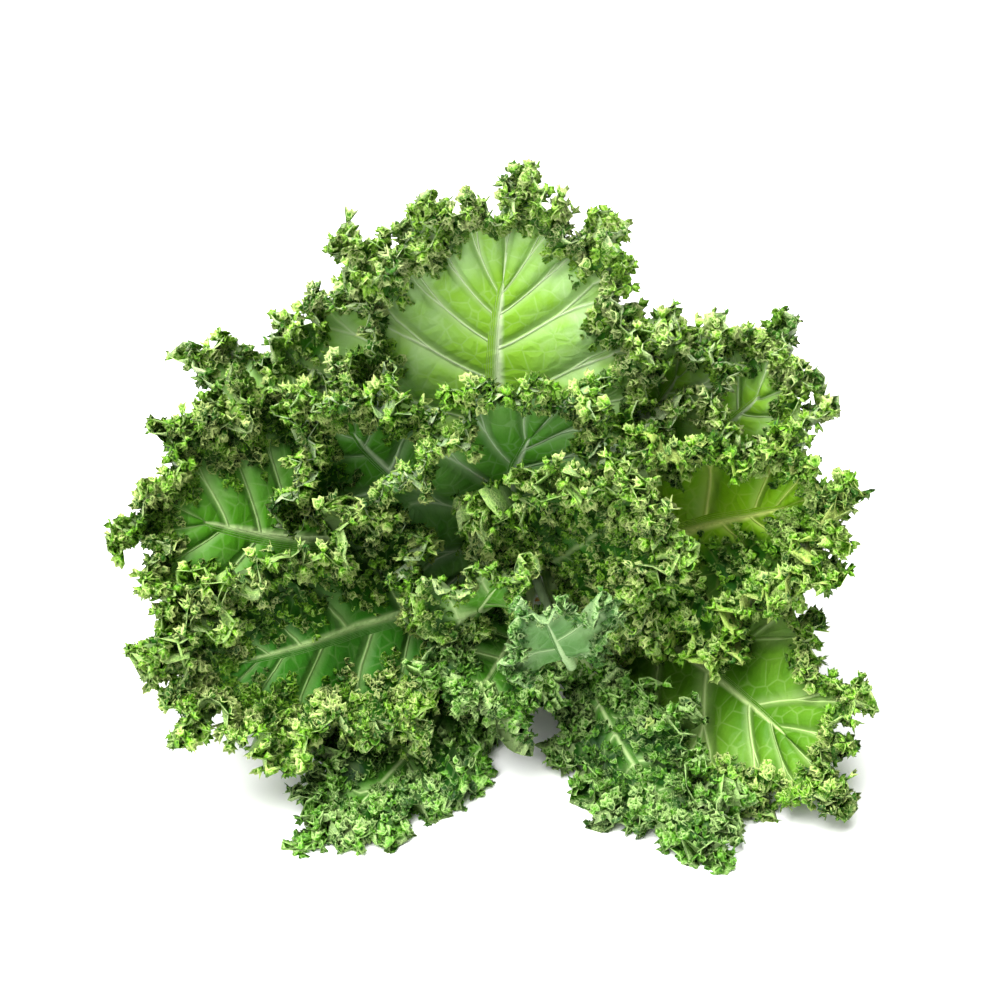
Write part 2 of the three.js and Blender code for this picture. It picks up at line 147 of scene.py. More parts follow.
# %% The rows of leaves
LEAF_ROWS = [
    # name, ring, turn, knee, tip, length, half width, cup, tint, roll, bare
    ("leaf_small_front", 0, 0, (36, -72, 20), (0, -106, 118), 50, 28, 6, "grey", 15, (0.66, 0.66)),
    ("leaf_small_left", 1, -120, (-46, -46, 60), (-8, -62, 114), 66, 28, 6, "mid", 50, (0.4, 0.4)),
    ("leaf_front_middle", 1, 180, (-18, -30, 36), (-34, -88, 52), 112, 38, 3, "low", 60, (0.25, 0.25)),
    ("leaf_front_right", 1, 120, (40, -70, -10), (90, -130, -5), 134, 35, 3, "low", 50, (0.05, 0.05)),
    ("leaf_heart_right", 1, 60, (4, -28, 94), (60, -78, 163), 176, 54, 6, "bright", 45, (0.06, 0.06)),
    ("leaf_heart", 1, 0, (-34, -10, 120), (22, -30, 200), 192, 74, 5, "deep", 60, (0.8, 0.6)),
    ("leaf_left_low", 2, -120, (-60, -44, 72), (-183, -84, 63), 193, 62, 4, "bright", 80, (0.3, 0.1)),
    ("leaf_front_left", 2, -150, (-58, -46, -8), (-100, -122, -4), 136, 42, 3, "low", 50, (0.15, 0.15)),
    ("leaf_heart_left", 1, -60, (-76, 0, 116), (-96, -6, 182), 150, 52, 6, "deep", 70, (0.3, 0.3)),
    ("leaf_right", 2, 90, (90, -10, 108), (152, -35, 141), 170, 65, 6, "sunny", 80, (0.45, 0.1)),
    ("leaf_right_low", 2, 120, (70, 0, 42), (142, -104, 20), 170, 52, 4, "shaded", 50, (0.62, 0.62)),
    ("leaf_top", 2, 0, (-32, 20, 150), (-6, 44, 262), 190, 86, 4, "pale", 55, (0.64, 0.64)),
    ("leaf_top_right", 2, 30, (60, 25, 130), (74, 30, 188), 125, 46, 5, "pale", 50, (0.6, 0.6)),
    ("leaf_right_high", 2, 60, (84, 30, 116), (120, 24, 178), 132, 46, 5, "pale", 60, (0.5, 0.4)),
    ("leaf_left", 2, -90, (-116, 10, 84), (-195, -16, 125), 170, 82, 6, "mid", 70, (0.4, 0.4)),
    ("leaf_top_left", 2, -30, (-64, 40, 130), (-68, 64, 226), 150, 52, 5, "pale", 60, (0.6, 0.6)),
    ("leaf_left_high", 2, -60, (-110, 36, 102), (-149, 34, 162), 142, 43, 5, "pale", 60, (0.6, 0.6)),
]
LEAVES = [Leaf(*row, seed) for seed, row in enumerate(LEAF_ROWS, start=1)]
print("leaves:", len(LEAVES))

# %% [markdown]
# ## The midrib
# The stalk and the midrib are one line. It runs straight from the cut end to the band and then
# bends out to the leaf's tip along a cubic curve, as a stalk does that is gripped at one end. At
# each place on it, the blade's upper face turns to one point in front of the bunch, which is what
# makes the leaves open like a rosette.

# %% The line of a midrib and the directions along it
CURVE_POINTS = 201
NEAR = 2


class Midrib:
    def __init__(self, leaf):
        along = unit(CUT - BAND)
        right = np.array([1.0, 0.0, 0.0])
        up = unit(np.cross(right, along))
        angle = math.radians(leaf.turn)
        offset = leaf.ring * LANE_GAP * (right * math.sin(angle) + up * math.cos(angle))
        band = BAND + offset
        knee, tip = np.array(leaf.knee, float), np.array(leaf.tip, float)
        bends = [band, band - SPLAY_START * along, knee, tip]
        t = np.linspace(0, 1, CURVE_POINTS)[:, None]
        cubic = enumerate((1, 3, 3, 1))
        curve = sum(c * t**k * (1 - t) ** (3 - k) * bends[k] for k, c in cubic)
        self.points = np.vstack([CUT + offset, curve])
        steps = np.linalg.norm(np.diff(self.points, axis=0), axis=1)
        self.reach = np.concatenate([[0], np.cumsum(steps)])
        self.length = self.reach[-1]
        self.base = self.length - leaf.length

    def at(self, s):
        """The points at distances s along the line from the cut end."""
        i = np.clip(np.searchsorted(self.reach, s), 1, len(self.reach) - 1)
        share = (s - self.reach[i - 1]) / (self.reach[i] - self.reach[i - 1])
        return self.points[i - 1] + (self.points[i] - self.points[i - 1]) * share[..., None]

    def frame(self, s):
        """The points at s, the way that the blade faces there, and the way across it."""
        p = self.at(s)
        t = unit(self.at(s + NEAR) - self.at(s - NEAR))
        n = FOCUS - p
        n = unit(n - t * np.sum(n * t, axis=-1, keepdims=True))
        return p, n, np.cross(t, n)


ribs = {leaf.name: Midrib(leaf) for leaf in LEAVES}
print("longest stalk and midrib:", round(max(r.length for r in ribs.values())), "mm")

# %% [markdown]
# ## The blade with its large waves
# Each point of a blade has two numbers. u runs round the edge, from one side of the base over the
# tip to the other side, and v runs from the midrib out to the edge. The side veins are lines of
# equal u. Adding waves one size after another, each along the normal of the surface so far, is how
# a real edge buckles.

# %% The waves round the edge
WAVE_LENGTH = 44
BASE_FADE = 0.06
DRIFTS = ((0.5, 2, 0.0), (0.4, 5, 0.5))  # radians, times round the edge, and step of the seed
PHASE_SEED = 0.25


def wave_count(leaf):
    return math.floor(leaf.edge / WAVE_LENGTH + 0.5)


def base_fade(u):
    """Nought at the leaf's base, where the waves die out, and 1 along the rest of the edge."""
    return np.minimum(1, np.minimum(u, 1 - u) / BASE_FADE)


def wave_phase(leaf, u):
    """The angle of the waves at u. It drifts, so that no two waves are the same."""
    drift = sum(angle * np.sin(2 * math.pi * (times * u + scatter(leaf.seed + step)))
                for angle, times, step in DRIFTS)
    return 2 * math.pi * (wave_count(leaf) * u + scatter(leaf.seed + PHASE_SEED)) + drift


print("waves round the largest leaf:", max(wave_count(leaf) for leaf in LEAVES))

# %% The leaf laid flat
MIDRIB_SHARE, BASE, EDGE_BOW = 0.72, 0.04, 1.2
LOBE, LOBE_START = 0.1, 0.3


def flat_point(leaf, u, v):
    """Place along the flat leaf and across it."""
    turn = 2 * u - 1
    q = BASE + (1 - BASE) * (1 - np.abs(turn))
    edge_x = leaf.length * (1 - np.cos(math.pi * q)) / 2
    edge_y = np.sign(turn) * leaf.half * np.sin(math.pi * q)
    root_x = MIDRIB_SHARE * leaf.length * np.sin(math.pi * q / 2) ** 3
    reach = v * (1 + LOBE * np.cos(wave_phase(leaf, u)) * ramp(v, LOBE_START, 1) * base_fade(u))
    return root_x + (edge_x - root_x) * np.maximum(reach, 0) ** EDGE_BOW, edge_y * reach


print("tip of the top leaf:", round(float(flat_point(LEAVES[11], 0.5, 1.0)[0])), "mm from its base")

# %% The margin rolled up and the blade cupped
ROLL_START = 0.44
LEAST_ROLL = 0.01


def rolled_point(leaf, u, v):
    """The flat point with its margin rolled up: place along the leaf, across it, and off it."""
    low = np.minimum(v, ROLL_START)
    x, y = flat_point(leaf, u, low)
    edge_x, edge_y = flat_point(leaf, u, np.ones_like(v))
    start_x, start_y = flat_point(leaf, u, np.full_like(v, ROLL_START))
    width = np.hypot(edge_x - start_x, edge_y - start_y)
    turn = np.maximum(LEAST_ROLL, math.radians(leaf.roll) * base_fade(u))
    angle = turn * np.maximum(0, v - ROLL_START) / (1 - ROLL_START)
    out = width / turn * np.sin(angle)
    up = width / turn * (1 - np.cos(angle))
    return x + (edge_x - start_x) / width * out, y + (edge_y - start_y) / width * out, up


def cupped(leaf, spot, y):
    p, n, side = spot
    bend = leaf.cup / 1000
    across = (np.sin(bend * y) / bend)[..., None]
    return p + side * across + n * ((1 - np.cos(bend * y)) / bend)[..., None]


def curled_point(leaf, u, v):
    rib = ribs[leaf.name]
    x, y, up = rolled_point(leaf, u, v)
    here, ahead, behind = (rib.frame(rib.base + x + step) for step in (0, 1, -1))
    along_x = cupped(leaf, ahead, y) - cupped(leaf, behind, y)
    along_y = cupped(leaf, here, y + 1) - cupped(leaf, here, y - 1)
    n = unit(np.cross(along_y, along_x))
    n = n * np.where(np.sum(n * here[1], axis=-1, keepdims=True) < 0, -1, 1)
    return cupped(leaf, here, y) + n * up[..., None]


print("the margin rolls from", f"{ROLL_START:.0%}", "of the way out")

# %% The large and the small waves
LARGE = (6, 0.35, 1.3)  # height in mm, where it starts, and how sharply it grows
SMALL = (4.5, 0.42, 1.2)


def normals_of(points):
    return unit(np.cross(np.gradient(points, axis=1), np.gradient(points, axis=0)))


def ruffled_grid(leaf, u, v):
    """The rolled blade with its large and small waves, for a grid of u by column and v by row."""
    points = curled_point(leaf, u, v)
    phase = wave_phase(leaf, u)
    for (height, start, power), angle in ((LARGE, phase), (SMALL, 2 * phase + 1)):
        lift = height * ramp(v, start, power) * base_fade(u) * np.sin(angle)
        points = points + normals_of(points) * lift[..., None]
    return points


print("large and small waves:", LARGE[0], "and", SMALL[0], "mm high")

# %% [markdown]
# ## Laying the leaves behind each other
# Leaves in a bunch press on each other and don't pass through. Each leaf is pushed straight away
# from the point in front of the bunch until it clears the leaves before it, and it gives way
# softly, as a sheet would. A map of directions keeps how far the leaves so far reach. The same rule
# placed the plain leaves of the frame.

# %% The map of how far the leaves reach
CELLS, SPAN = 220, 1.6
LAYER_GAP = 1.5
BAND_FREE, BAND_EASE = 45, 35
reached = np.zeros(CELLS * CELLS)


def map_cell(p):
    """The column and row of the map for points as seen from FOCUS, and how far off they are."""
    away = p - FOCUS
    distance = np.linalg.norm(away, axis=-1)
    away = away / distance[..., None]
    column = np.floor((away[..., 0] / (1 + away[..., 1]) / SPAN + 0.5) * CELLS).astype(int)
    row = np.floor((away[..., 2] / (1 + away[..., 1]) / SPAN + 0.5) * CELLS).astype(int)
    return column, row, distance


def mark(p, radius):
    column, row, distance = map_cell(p)
    for i in (-1, 0, 1):
        for k in (-1, 0, 1):
            np.maximum.at(reached, (row + k) * CELLS + column + i, distance + radius)


def shortfall(p, radius):
    """How much further off points must go to clear the leaves so far, and less near the band."""
    column, row, distance = map_cell(p)
    taken = reached[row * CELLS + column]
    free = np.clip((np.linalg.norm(p - BAND, axis=-1) - BAND_FREE) / BAND_EASE, 0, 1)
    return np.where(taken > 0, free * np.maximum(0, taken + LAYER_GAP + radius - distance), 0)


print("map cells:", reached.size)

# %% A coarse field over a leaf, and its values between
LAY_ROWS = np.array([0, 0.3, 0.56, 0.78, 1.0])


def row_under(v):
    return np.clip(np.searchsorted(LAY_ROWS, v, side="left") - 1, 0, len(LAY_ROWS) - 2)


def laid_at(laid, u, v):
    columns = laid.shape[1] - 1
    i = np.clip(np.floor(u * columns).astype(int), 0, columns - 1)
    r = row_under(v)
    across = u * columns - i
    out = (v - LAY_ROWS[r]) / (LAY_ROWS[r + 1] - LAY_ROWS[r])
    low = laid[r, i] * (1 - across) + laid[r, i + 1] * across
    high = laid[r + 1, i] * (1 - across) + laid[r + 1, i + 1] * across
    return low * (1 - out) + high * out


def neighbour_mean(field):
    """The mean of the values above, below, left and right of each one."""
    total, count = np.zeros_like(field), np.zeros_like(field)
    for axis in (0, 1):
        for step in (1, -1):
            near = [slice(None), slice(None)]
            here = [slice(None), slice(None)]
            near[axis] = slice(1, None) if step == 1 else slice(None, -1)
            here[axis] = slice(None, -1) if step == 1 else slice(1, None)
            total[tuple(here)] += field[tuple(near)]
            count[tuple(here)] += 1
    return total / count


print("rows of the field:", len(LAY_ROWS))

# %% How far each part of a leaf is laid back
SPLIT = 4
ROW_STEP, COLUMN_STEP = 2, 4
GRID_ROWS = 21
LAY_TURNS, LAY_EASE = 8, 0.9


def lay_back(leaf):
    """The field of distances for one leaf. It gives way softly round each place that goes back."""
    columns = 2 * wave_count(leaf)
    i = np.arange(columns * SPLIT + 1)
    fine = np.linspace(0, 1, COLUMN_STEP * columns * SPLIT + 1)
    u, v = np.meshgrid(fine, np.linspace(0, 1, GRID_ROWS))
    p = ruffled_grid(leaf, u, v)[::ROW_STEP, ::COLUMN_STEP]
    v = v[::ROW_STEP, ::COLUMN_STEP]
    short = shortfall(p, np.where(v == 0, leaf.stalk, BLADE_THICKNESS / 2))
    need = np.zeros((len(LAY_ROWS), columns + 1))
    column = np.minimum(columns - 1, i // SPLIT)
    for k in range(len(v)):
        r = int(row_under(np.array(v[k, 0]) - 1e-9))
        for dr in (0, 1):
            for dc in (0, 1):
                np.maximum.at(need[r + dr], column + dc, short[k])
    need[0] = np.maximum(need[0], need[0][::-1])
    laid = need
    for _ in range(LAY_TURNS):
        laid = np.maximum(need, LAY_EASE * neighbour_mean(laid))
        laid[0] = np.maximum(laid[0], laid[0][::-1])
    return laid


print("leaf before any other, laid back:", lay_back(LEAVES[0]).max(), "mm")

# %% Moving points back, and keeping them above the table
BLADE_EASE, STALK_EASE = 10, 1


def pressed(z, least, ease):
    """Heights eased so that none is below the least."""
    h = z - least
    eased = least + np.maximum(h + ease, 0) ** 2 / (4 * ease)
    return np.where(h >= ease, z, eased)


def laid_point(p, distance):
    return p + unit(p - FOCUS) * distance[..., None]


def stalk_laid(leaf, laid, s):
    """How far a stalk is laid back at distances s, and how far it has left its lane, 0 to 1."""
    rib = ribs[leaf.name]
    lane = np.linalg.norm(CUT - BAND)
    bent = smooth((s - lane) / max(1, rib.base - lane))
    along = (s - rib.base) / (MIDRIB_SHARE * leaf.length)
    q = np.arcsin(np.clip(np.cbrt(along), 0, 1)) * 2 / math.pi
    u = np.maximum(0, (q - BASE) / (1 - BASE)) / 2
    return np.where(along <= 0, laid[0, 0] * bent, laid_at(laid, u, np.zeros_like(u))), bent


print("a point at the table's height rises to", float(pressed(0.0, 0.0, BLADE_EASE)), "mm")

# %% Laying the leaves one by one
MARK_COLUMNS, MARK_STEP = 321, 4.0

laid_fields = {}
for leaf in LEAVES:
    laid = lay_back(leaf)
    u, v = np.meshgrid(np.linspace(0, 1, MARK_COLUMNS), np.linspace(0, 1, GRID_ROWS))
    blade = laid_point(ruffled_grid(leaf, u, v), laid_at(laid, u, v))
    blade[..., 2] = pressed(blade[..., 2], BLADE_THICKNESS / 2, BLADE_EASE)
    mark(blade, np.where(v == 0, leaf.stalk, BLADE_THICKNESS / 2))
    s = np.arange(0, ribs[leaf.name].base, MARK_STEP)
    stalk = laid_point(ribs[leaf.name].at(s), stalk_laid(leaf, laid, s)[0])
    stalk[..., 2] = pressed(stalk[..., 2], leaf.stalk, STALK_EASE)
    mark(stalk, leaf.stalk)
    laid_fields[leaf.name] = laid
print("laid back at most:", round(max(f.max() for f in laid_fields.values())), "mm")

# %% [markdown]
# ## Folds in the blade
# The panels between the side veins bulge up, and towards its edge the leaf grows more cloth than it
# has room for, so it folds. A Displace modifier would lift the blade only along its normal. Here
# each fold also leans to and fro along the edge, so that it overhangs as on the real leaf, and its
# length and height wander.

# %% Bulging panels between the side veins
TIP_START, TIP_WIDTH = 0.47, 0.06
BARE_WANDER, BARE_AT_VEIN = 0.06, 0.1
BULGE_INSIDE, BULGE_OUTWARDS, BULGE_START = 1.4, 6, 0.12
VEIN_SINK = 0.3


def bare_share(leaf, u):
    """How far out the blade stays smooth: further at a side vein, and unlike on its two sides."""
    one, other = leaf.bare
    bare = one + (other - one) * smooth((u - TIP_START) / TIP_WIDTH)
    uneven = BARE_WANDER * wander(u, leaf.seed + 0.7, 7)
    return bare + uneven - BARE_AT_VEIN * np.cos(2 * wave_phase(leaf, u))


def bulged(points, leaf, u, v):
    beside_vein = np.abs(wave_phase(leaf, u) / math.pi % 1 - 0.5)
    height = (BULGE_INSIDE + BULGE_OUTWARDS * v) * leaf.fineness
    height = height * smooth(v / BULGE_START) * base_fade(u)
    lift = height * (np.sin(math.pi * beside_vein) - VEIN_SINK)
    return points + normals_of(points) * lift[..., None]


print("smooth share of the heart leaf:", round(float(bare_share(LEAVES[5], 0.3)), 2))

# %% Two sizes of fold
@dataclass
class FoldSize:
    """Length and height in mm. The folds drift to the sides and are uneven in height, each in a
    number of waves round the leaf, and they lag towards the edge."""
    length: float
    height: float
    drift: float
    drift_waves: int
    uneven: float
    uneven_waves: int
    lag: float
    seeds: tuple


FOLDS = (FoldSize(7.3, 4.3, 2.2, 13, 0.4, 17, lag=1.8, seeds=(0.1, 0.2)),
         FoldSize(4.2, 2.0, 2.4, 47, 0.5, 61, lag=-2.4, seeds=(0.3, 0.4)))
print("folds are", [size.length for size in FOLDS], "mm long")

# %% Folding a sheet of points
OVERHANG = 0.35
BASE_EASE = 0.05
TOOTH, TOOTH_STEPS = 1.3, np.array([0.0, 1.0, 0.3])


def fold(points, phase, height):
    """Moves each point along the sheet's normal, and to and fro along its edge to overhang."""
    along_edge = unit(np.gradient(points, axis=1))
    n = unit(np.cross(along_edge, unit(np.gradient(points, axis=0))))
    lifted = points + n * (height * np.sin(phase))[..., None]
    return lifted + along_edge * (OVERHANG * height * np.sin(2 * phase))[..., None]


def folded(points, leaf, u, reach):
    """The blade with both sizes of fold, and small teeth along its edge."""
    fade = smooth(np.minimum(u, 1 - u) / BASE_EASE) * reach
    for size in FOLDS:
        drift_seed, uneven_seed = (leaf.seed + step for step in size.seeds)
        phase = 2 * math.pi * round(leaf.edge / size.length) * u
        phase = phase + size.drift * wander(u, drift_seed, size.drift_waves)
        height = size.height * fade * (1 + size.uneven * wander(u, uneven_seed, size.uneven_waves))
        points = fold(points, phase + size.lag * reach, height)
    i = np.arange(u.shape[1])
    tooth = TOOTH * TOOTH_STEPS[i % len(TOOTH_STEPS)] * (0.4 + scatter(i + leaf.seed)) * fade[-1]
    points[-1] += unit(points[-1] - points[-2]) * tooth[:, None]
    return points


print("folds round the largest leaf:", max(round(leaf.edge / FOLDS[0].length) for leaf in LEAVES))

# %% The blade as a grid of points
ROWS = np.array([0, 0.08, 0.17, 0.26, 0.35, 0.43, 0.51, 0.59, 0.67, 0.75, 0.83, 0.89, 0.94, 1.0])
COLUMN_BLOCK = 16
ALL_FRILL = 0.2
LATEST_FOLD, FOLD_MARGIN = 0.5, 0.05


def plain_grid(leaf, u, v):
    p = ruffled_grid(leaf, u, v)
    p = laid_point(p, laid_at(laid_fields[leaf.name], u, v))
    p[..., 2] = pressed(p[..., 2], BLADE_THICKNESS / 2, BLADE_EASE)
    return p


def blade_grid(leaf):
    """The folded blade, one column to a millimetre. A leaf all of frill folds from its midrib."""
    columns = COLUMN_BLOCK * round(leaf.edge / COLUMN_BLOCK)
    u, v = np.meshgrid(np.linspace(0, 1, columns + 1), ROWS)
    bare = np.where(u < 0.5, *leaf.bare)
    start = np.minimum(LATEST_FOLD, bare + FOLD_MARGIN)
    share = np.maximum(0, (v - start) / (1 - start))
    reach = np.where(bare < ALL_FRILL, 1.5 * share ** 0.4, share ** 0.8) * leaf.fineness
    return folded(bulged(plain_grid(leaf, u, v), leaf, u, v), leaf, u, reach), u, v


print("rows from midrib to edge:", len(ROWS))

# %% [markdown]
# ## The curls
# Towards its edge a kale leaf is crowded with small ruffles, 2 to 3 mm apart, with thin light rims
# and dark hollows. Hair or instances would draw them fast, but an export loses both. So each curl
# is a few points in an array: a pleated cup round a foot that is sunk into the blade. With both its
# skins it has 24 triangles. Space is filled with a smooth field that makes the curls taller in
# tufts 14 mm across.

# %% Where the curls stand
CURL_GAP = {1: 2.6, -1: 3.9}
UNDER_BARE = 0.6
INNER_ROW, ROW_GROWTH = 0.65, 0.65
JITTER_ALONG, JITTER_OUT = 0.8, 0.9
CURL_LIMITS = dict(base=0.02, midrib=0.03, edge=0.99)


def curl_places(leaf, side):
    """Places (u, v) of the curls on the upper face (1) or the under face (-1), in uneven rows."""
    gap = CURL_GAP[side]
    face_bare = 0 if side == 1 else UNDER_BARE
    rows = max(2, round((1 - max(face_bare, min(leaf.bare))) * leaf.half / gap))
    places = []
    for k in range(rows):
        share = (k + 0.5) / rows
        count = round(leaf.edge * (INNER_ROW + ROW_GROWTH * share) / gap)
        i = np.arange(count)
        chance = leaf.seed * 31.7 + k * 7.3 + side * 3.1
        u = (i + 0.5 + JITTER_ALONG * (scatter(i + chance) - 0.5)) / count
        bare = bare_share(leaf, u) if side == 1 else np.maximum(bare_share(leaf, u), UNDER_BARE)
        v = bare + (1 - bare) * (share + JITTER_OUT / rows * (scatter(i * 1.7 + chance) - 0.5))
        keep = (np.minimum(u, 1 - u) > CURL_LIMITS["base"]) & (v > CURL_LIMITS["midrib"])
        places.append(np.stack([u[keep], np.minimum(v[keep], CURL_LIMITS["edge"])], 1))
    return np.concatenate(places)


print("curls on the top leaf:", sum(len(curl_places(LEAVES[11], side)) for side in CURL_GAP))

# %% Reading a grid between its points
def at_places(grid, rows, places):
    columns = grid.shape[1] - 1
    i = np.minimum((places[:, 0] * columns).astype(int), columns - 1)
    r = np.clip(np.searchsorted(rows, places[:, 1], side="right") - 1, 0, len(rows) - 2)
    across = (places[:, 0] * columns - i)[:, None]
    out = ((places[:, 1] - rows[r]) / (rows[r + 1] - rows[r]))[:, None]
    low = grid[r, i] * (1 - across) + grid[r, i + 1] * across
    high = grid[r + 1, i] * (1 - across) + grid[r + 1, i + 1] * across
    return low * (1 - out) + high * out


print("columns in the top leaf's grid:", blade_grid(LEAVES[11])[1].shape[1])

# %% Tufts, and the way that each curl opens
TUFT_TURNS = np.array([[0.45, 0.1, 0.12], [-0.1, 0.43, -0.16], [0.14, -0.12, 0.44]])
LEAN_OUT, LEAN_ANY_WAY = 0.5, 0.8
PLAIN_COLUMNS, PLAIN_ROWS = 241, 31


def tufts(p):
    """A smooth field in space, between about -1 and 1."""
    return np.sin(p @ TUFT_TURNS.T + 2 * np.sin(0.19 * p)).sum(-1) / 2


def curl_axes(leaf, places, side, chance):
    """Which way each curl opens, and two directions across it."""
    u, v = np.meshgrid(np.linspace(0, 1, PLAIN_COLUMNS), np.linspace(0, 1, PLAIN_ROWS))
    plain = plain_grid(leaf, u, v)
    n = at_places(normals_of(plain), v[:, 0], places) * side
    outward = at_places(unit(np.gradient(plain, axis=0)), v[:, 0], places)
    lean = np.stack([scatter(chance + k / 3) for k in range(3)], 1) - 0.5
    axis = unit(n + LEAN_OUT * outward * (places[:, 1] - 0.3)[:, None] + LEAN_ANY_WAY * lean)
    any_way = np.stack([scatter(chance * k) for k in (1.3, 1.9, 2.3)], 1) - 0.5
    first = unit(np.cross(axis, any_way))
    return axis, first, np.cross(axis, first)


print("a tuft is about", round(math.pi / TUFT_TURNS[0, 0] * 2), "mm across")

# %% The shape of the curls
CURL_SIDES = 12
CURL_SIZE, CURL_GROWTH = 2.15, 0.8
CURL_LIFT, TUFT_LIFT = 0.5, 1.0
PLEAT, RIM_WAVE = 0.27, 0.3
SUNK = 0.6


def curl_rim(chance):
    """The angle of each point round the rim, and chance values of its reach and its pleat."""
    k = np.arange(CURL_SIDES)
    uneven = 0.7 * (scatter(chance[:, None] * 1.7 + k * 5.3) - 0.5)
    angle = 2 * math.pi * (k + uneven) / CURL_SIDES
    jag = scatter(chance[:, None] * 2.7 + k * 3.1)
    deep = 0.3 + 0.7 * scatter(chance[:, None] * 3.9 + k * 1.1)
    return angle, jag, np.where(k % 2 == 1, 1.0, -1.0) * deep


def curl_points(leaf, grid, places, side):
    """The foot and the pleated rim of every curl on one face, as an array of curls by points."""
    chance = np.arange(len(places)) + leaf.seed * 500.5 + side * 77
    axis, first, second = curl_axes(leaf, places, side, chance)
    angle, jag, pleat = curl_rim(chance)
    foot = at_places(grid, ROWS, places)
    size = (CURL_SIZE + CURL_GROWTH * places[:, 1]) * (0.7 + 0.65 * scatter(chance * 3.3))
    size = (size * leaf.fineness)[:, None]
    narrow = (0.4 + 0.5 * scatter(chance * 4.1))[:, None]
    lift = CURL_LIFT + 0.6 * scatter(chance * 5.7) + TUFT_LIFT * np.maximum(0, tufts(foot))
    reach = size * (0.7 + 0.4 * jag + 0.12 * pleat)
    wave = RIM_WAVE * np.sin(2 * angle + 6 * jag[:, :1])
    height = size * (lift[:, None] + PLEAT * pleat + wave)
    rim = (foot[:, None] + first[:, None] * (reach * np.cos(angle))[..., None]
           + second[:, None] * (reach * np.sin(angle) * narrow)[..., None]
           + axis[:, None] * height[..., None])
    return np.concatenate([(foot - SUNK * axis)[:, None], rim], 1)


print("triangles in one skin of a curl:", CURL_SIDES)

# %% [markdown]
# ## From a sheet to a closed shell
# The edge needs columns a millimetre apart and the smooth face doesn't, so the grid is thinned
# towards the midrib. Each sheet, blade or curl, then gets its thickness: one skin to either side
# along the normals, and the two meet in a sharp edge. A Solidify modifier could do the same, but
# its rim would cost twice the triangles.

# %% The triangles of the thinned blade
STEPS = [4] * 9 + [2] * 3 + [1] * 2


def blade_ids(columns):
    """The number of each kept grid point, and how many are kept. Both sides share the midrib's."""
    ids = -np.ones((len(STEPS), columns + 1), int)
    count = 0
    for r, step in enumerate(STEPS):
        kept = np.arange(0, columns + 1, step)
        if r == 0:
            kept = kept[kept <= columns // 2]
            ids[0, columns - kept] = count + np.arange(len(kept))
        ids[r, kept] = count + np.arange(len(kept))
        count += len(kept)
    return ids, count


def blade_faces(ids):
    """The triangles between each row and the next, which may have more points."""
    faces = []
    for r in range(len(STEPS) - 1):
        inner, outer = STEPS[r], STEPS[r + 1]
        starts = np.arange(0, ids.shape[1] - 1, inner)
        many = inner // outer
        half_way = (many + 1) // 2
        for k in range(many):
            low = ids[r, starts if k < half_way else starts + inner]
            first, second = (ids[r + 1, starts + (k + step) * outer] for step in (0, 1))
            faces.append(np.stack([low, first, second], 1))
        last = ids[r + 1, starts + half_way * outer]
        faces.append(np.stack([ids[r, starts], last, ids[r, starts + inner]], 1))
    faces = np.concatenate(faces)
    a, b, c = faces.T
    return faces[(a != b) & (b != c) & (c != a)]


print("triangles in a blade 320 columns wide:", len(blade_faces(blade_ids(320)[0])))

# %% Giving a sheet its two skins
def point_normals(points, faces):
    n = np.zeros_like(points)
    corners = points[faces]
    face_n = np.cross(corners[:, 1] - corners[:, 0], corners[:, 2] - corners[:, 0])
    for k in range(3):
        np.add.at(n, faces[:, k], face_n)
    return unit(n)


def shell_of(points, faces, half):
    """The points and triangles of both skins, and which sheet point each came from."""
    count = len(points)
    edges = np.vstack([faces[:, [0, 1]], faces[:, [1, 2]], faces[:, [2, 0]]])
    keys = edges[:, 0] * count + edges[:, 1]
    rim = edges[~np.isin(keys, edges[:, 1] * count + edges[:, 0])]
    on_rim = np.zeros(count, bool)
    on_rim[rim.ravel()] = True
    faces = faces[~on_rim[faces].all(1)]
    n = point_normals(points, faces)
    other = np.arange(count)
    other[~on_rim] = count + np.arange((~on_rim).sum())
    source = np.concatenate([np.arange(count), np.flatnonzero(~on_rim)])
    lift = np.where(on_rim, 0, half)[:, None] * n
    skins = np.vstack([points + lift, (points - lift)[~on_rim]])
    return skins, np.vstack([faces, other[faces][:, [0, 2, 1]]]), source


print("ready to close sheets")

# %% [markdown]
# ## The stalk
# A kale stalk is round below and slightly hollowed above, pale, and tapers all the way into the
# midrib. It is a tube of rings along the midrib line, closed at both ends, that belongs to its
# leaf.

# %% Where a stalk runs, and how thick it is
TUBE_SIDES, TUBE_RINGS = 14, 56
STALK_RUN, STALK_SINK = (0.8, 0.4), (0.5, 1.2)  # with a smooth face, and with nothing but frill
OUTER_THINNING = 0.9


def stalk_rings(leaf):
    """The middle, radius, side and top of each ring along the stalk and midrib."""
    rib = ribs[leaf.name]
    kind = 0 if max(leaf.bare) > ALL_FRILL else 1
    s = np.linspace(0, rib.base + STALK_RUN[kind] * leaf.length, TUBE_RINGS)
    p, n, _ = rib.frame(s)
    along = unit(np.gradient(p, axis=0))
    turned = [np.array([0.0, 0.0, 1.0])]
    for t in along:
        turned.append(unit(turned[-1] - t * (turned[-1] @ t)))
    up = np.array(turned[1:])
    share = np.clip((s - rib.base) / (STALK_SHARE * leaf.length), 0, 1)
    radius = leaf.stalk + (STALK_TIP - leaf.stalk) * share ** 0.8
    radius = radius * np.where(s > rib.base + STALK_SHARE * leaf.length, OUTER_THINNING, 1)
    distance, bent = stalk_laid(leaf, laid_fields[leaf.name], s)
    p = laid_point(p - n * (STALK_SINK[kind] * radius * bent)[:, None], distance)
    p[:, 2] = pressed(p[:, 2], radius, STALK_EASE)
    return p, radius, np.cross(along, up), up


print("stalk of the top leaf:", round(float(stalk_rings(LEAVES[11])[1][0]), 1), "mm in radius")

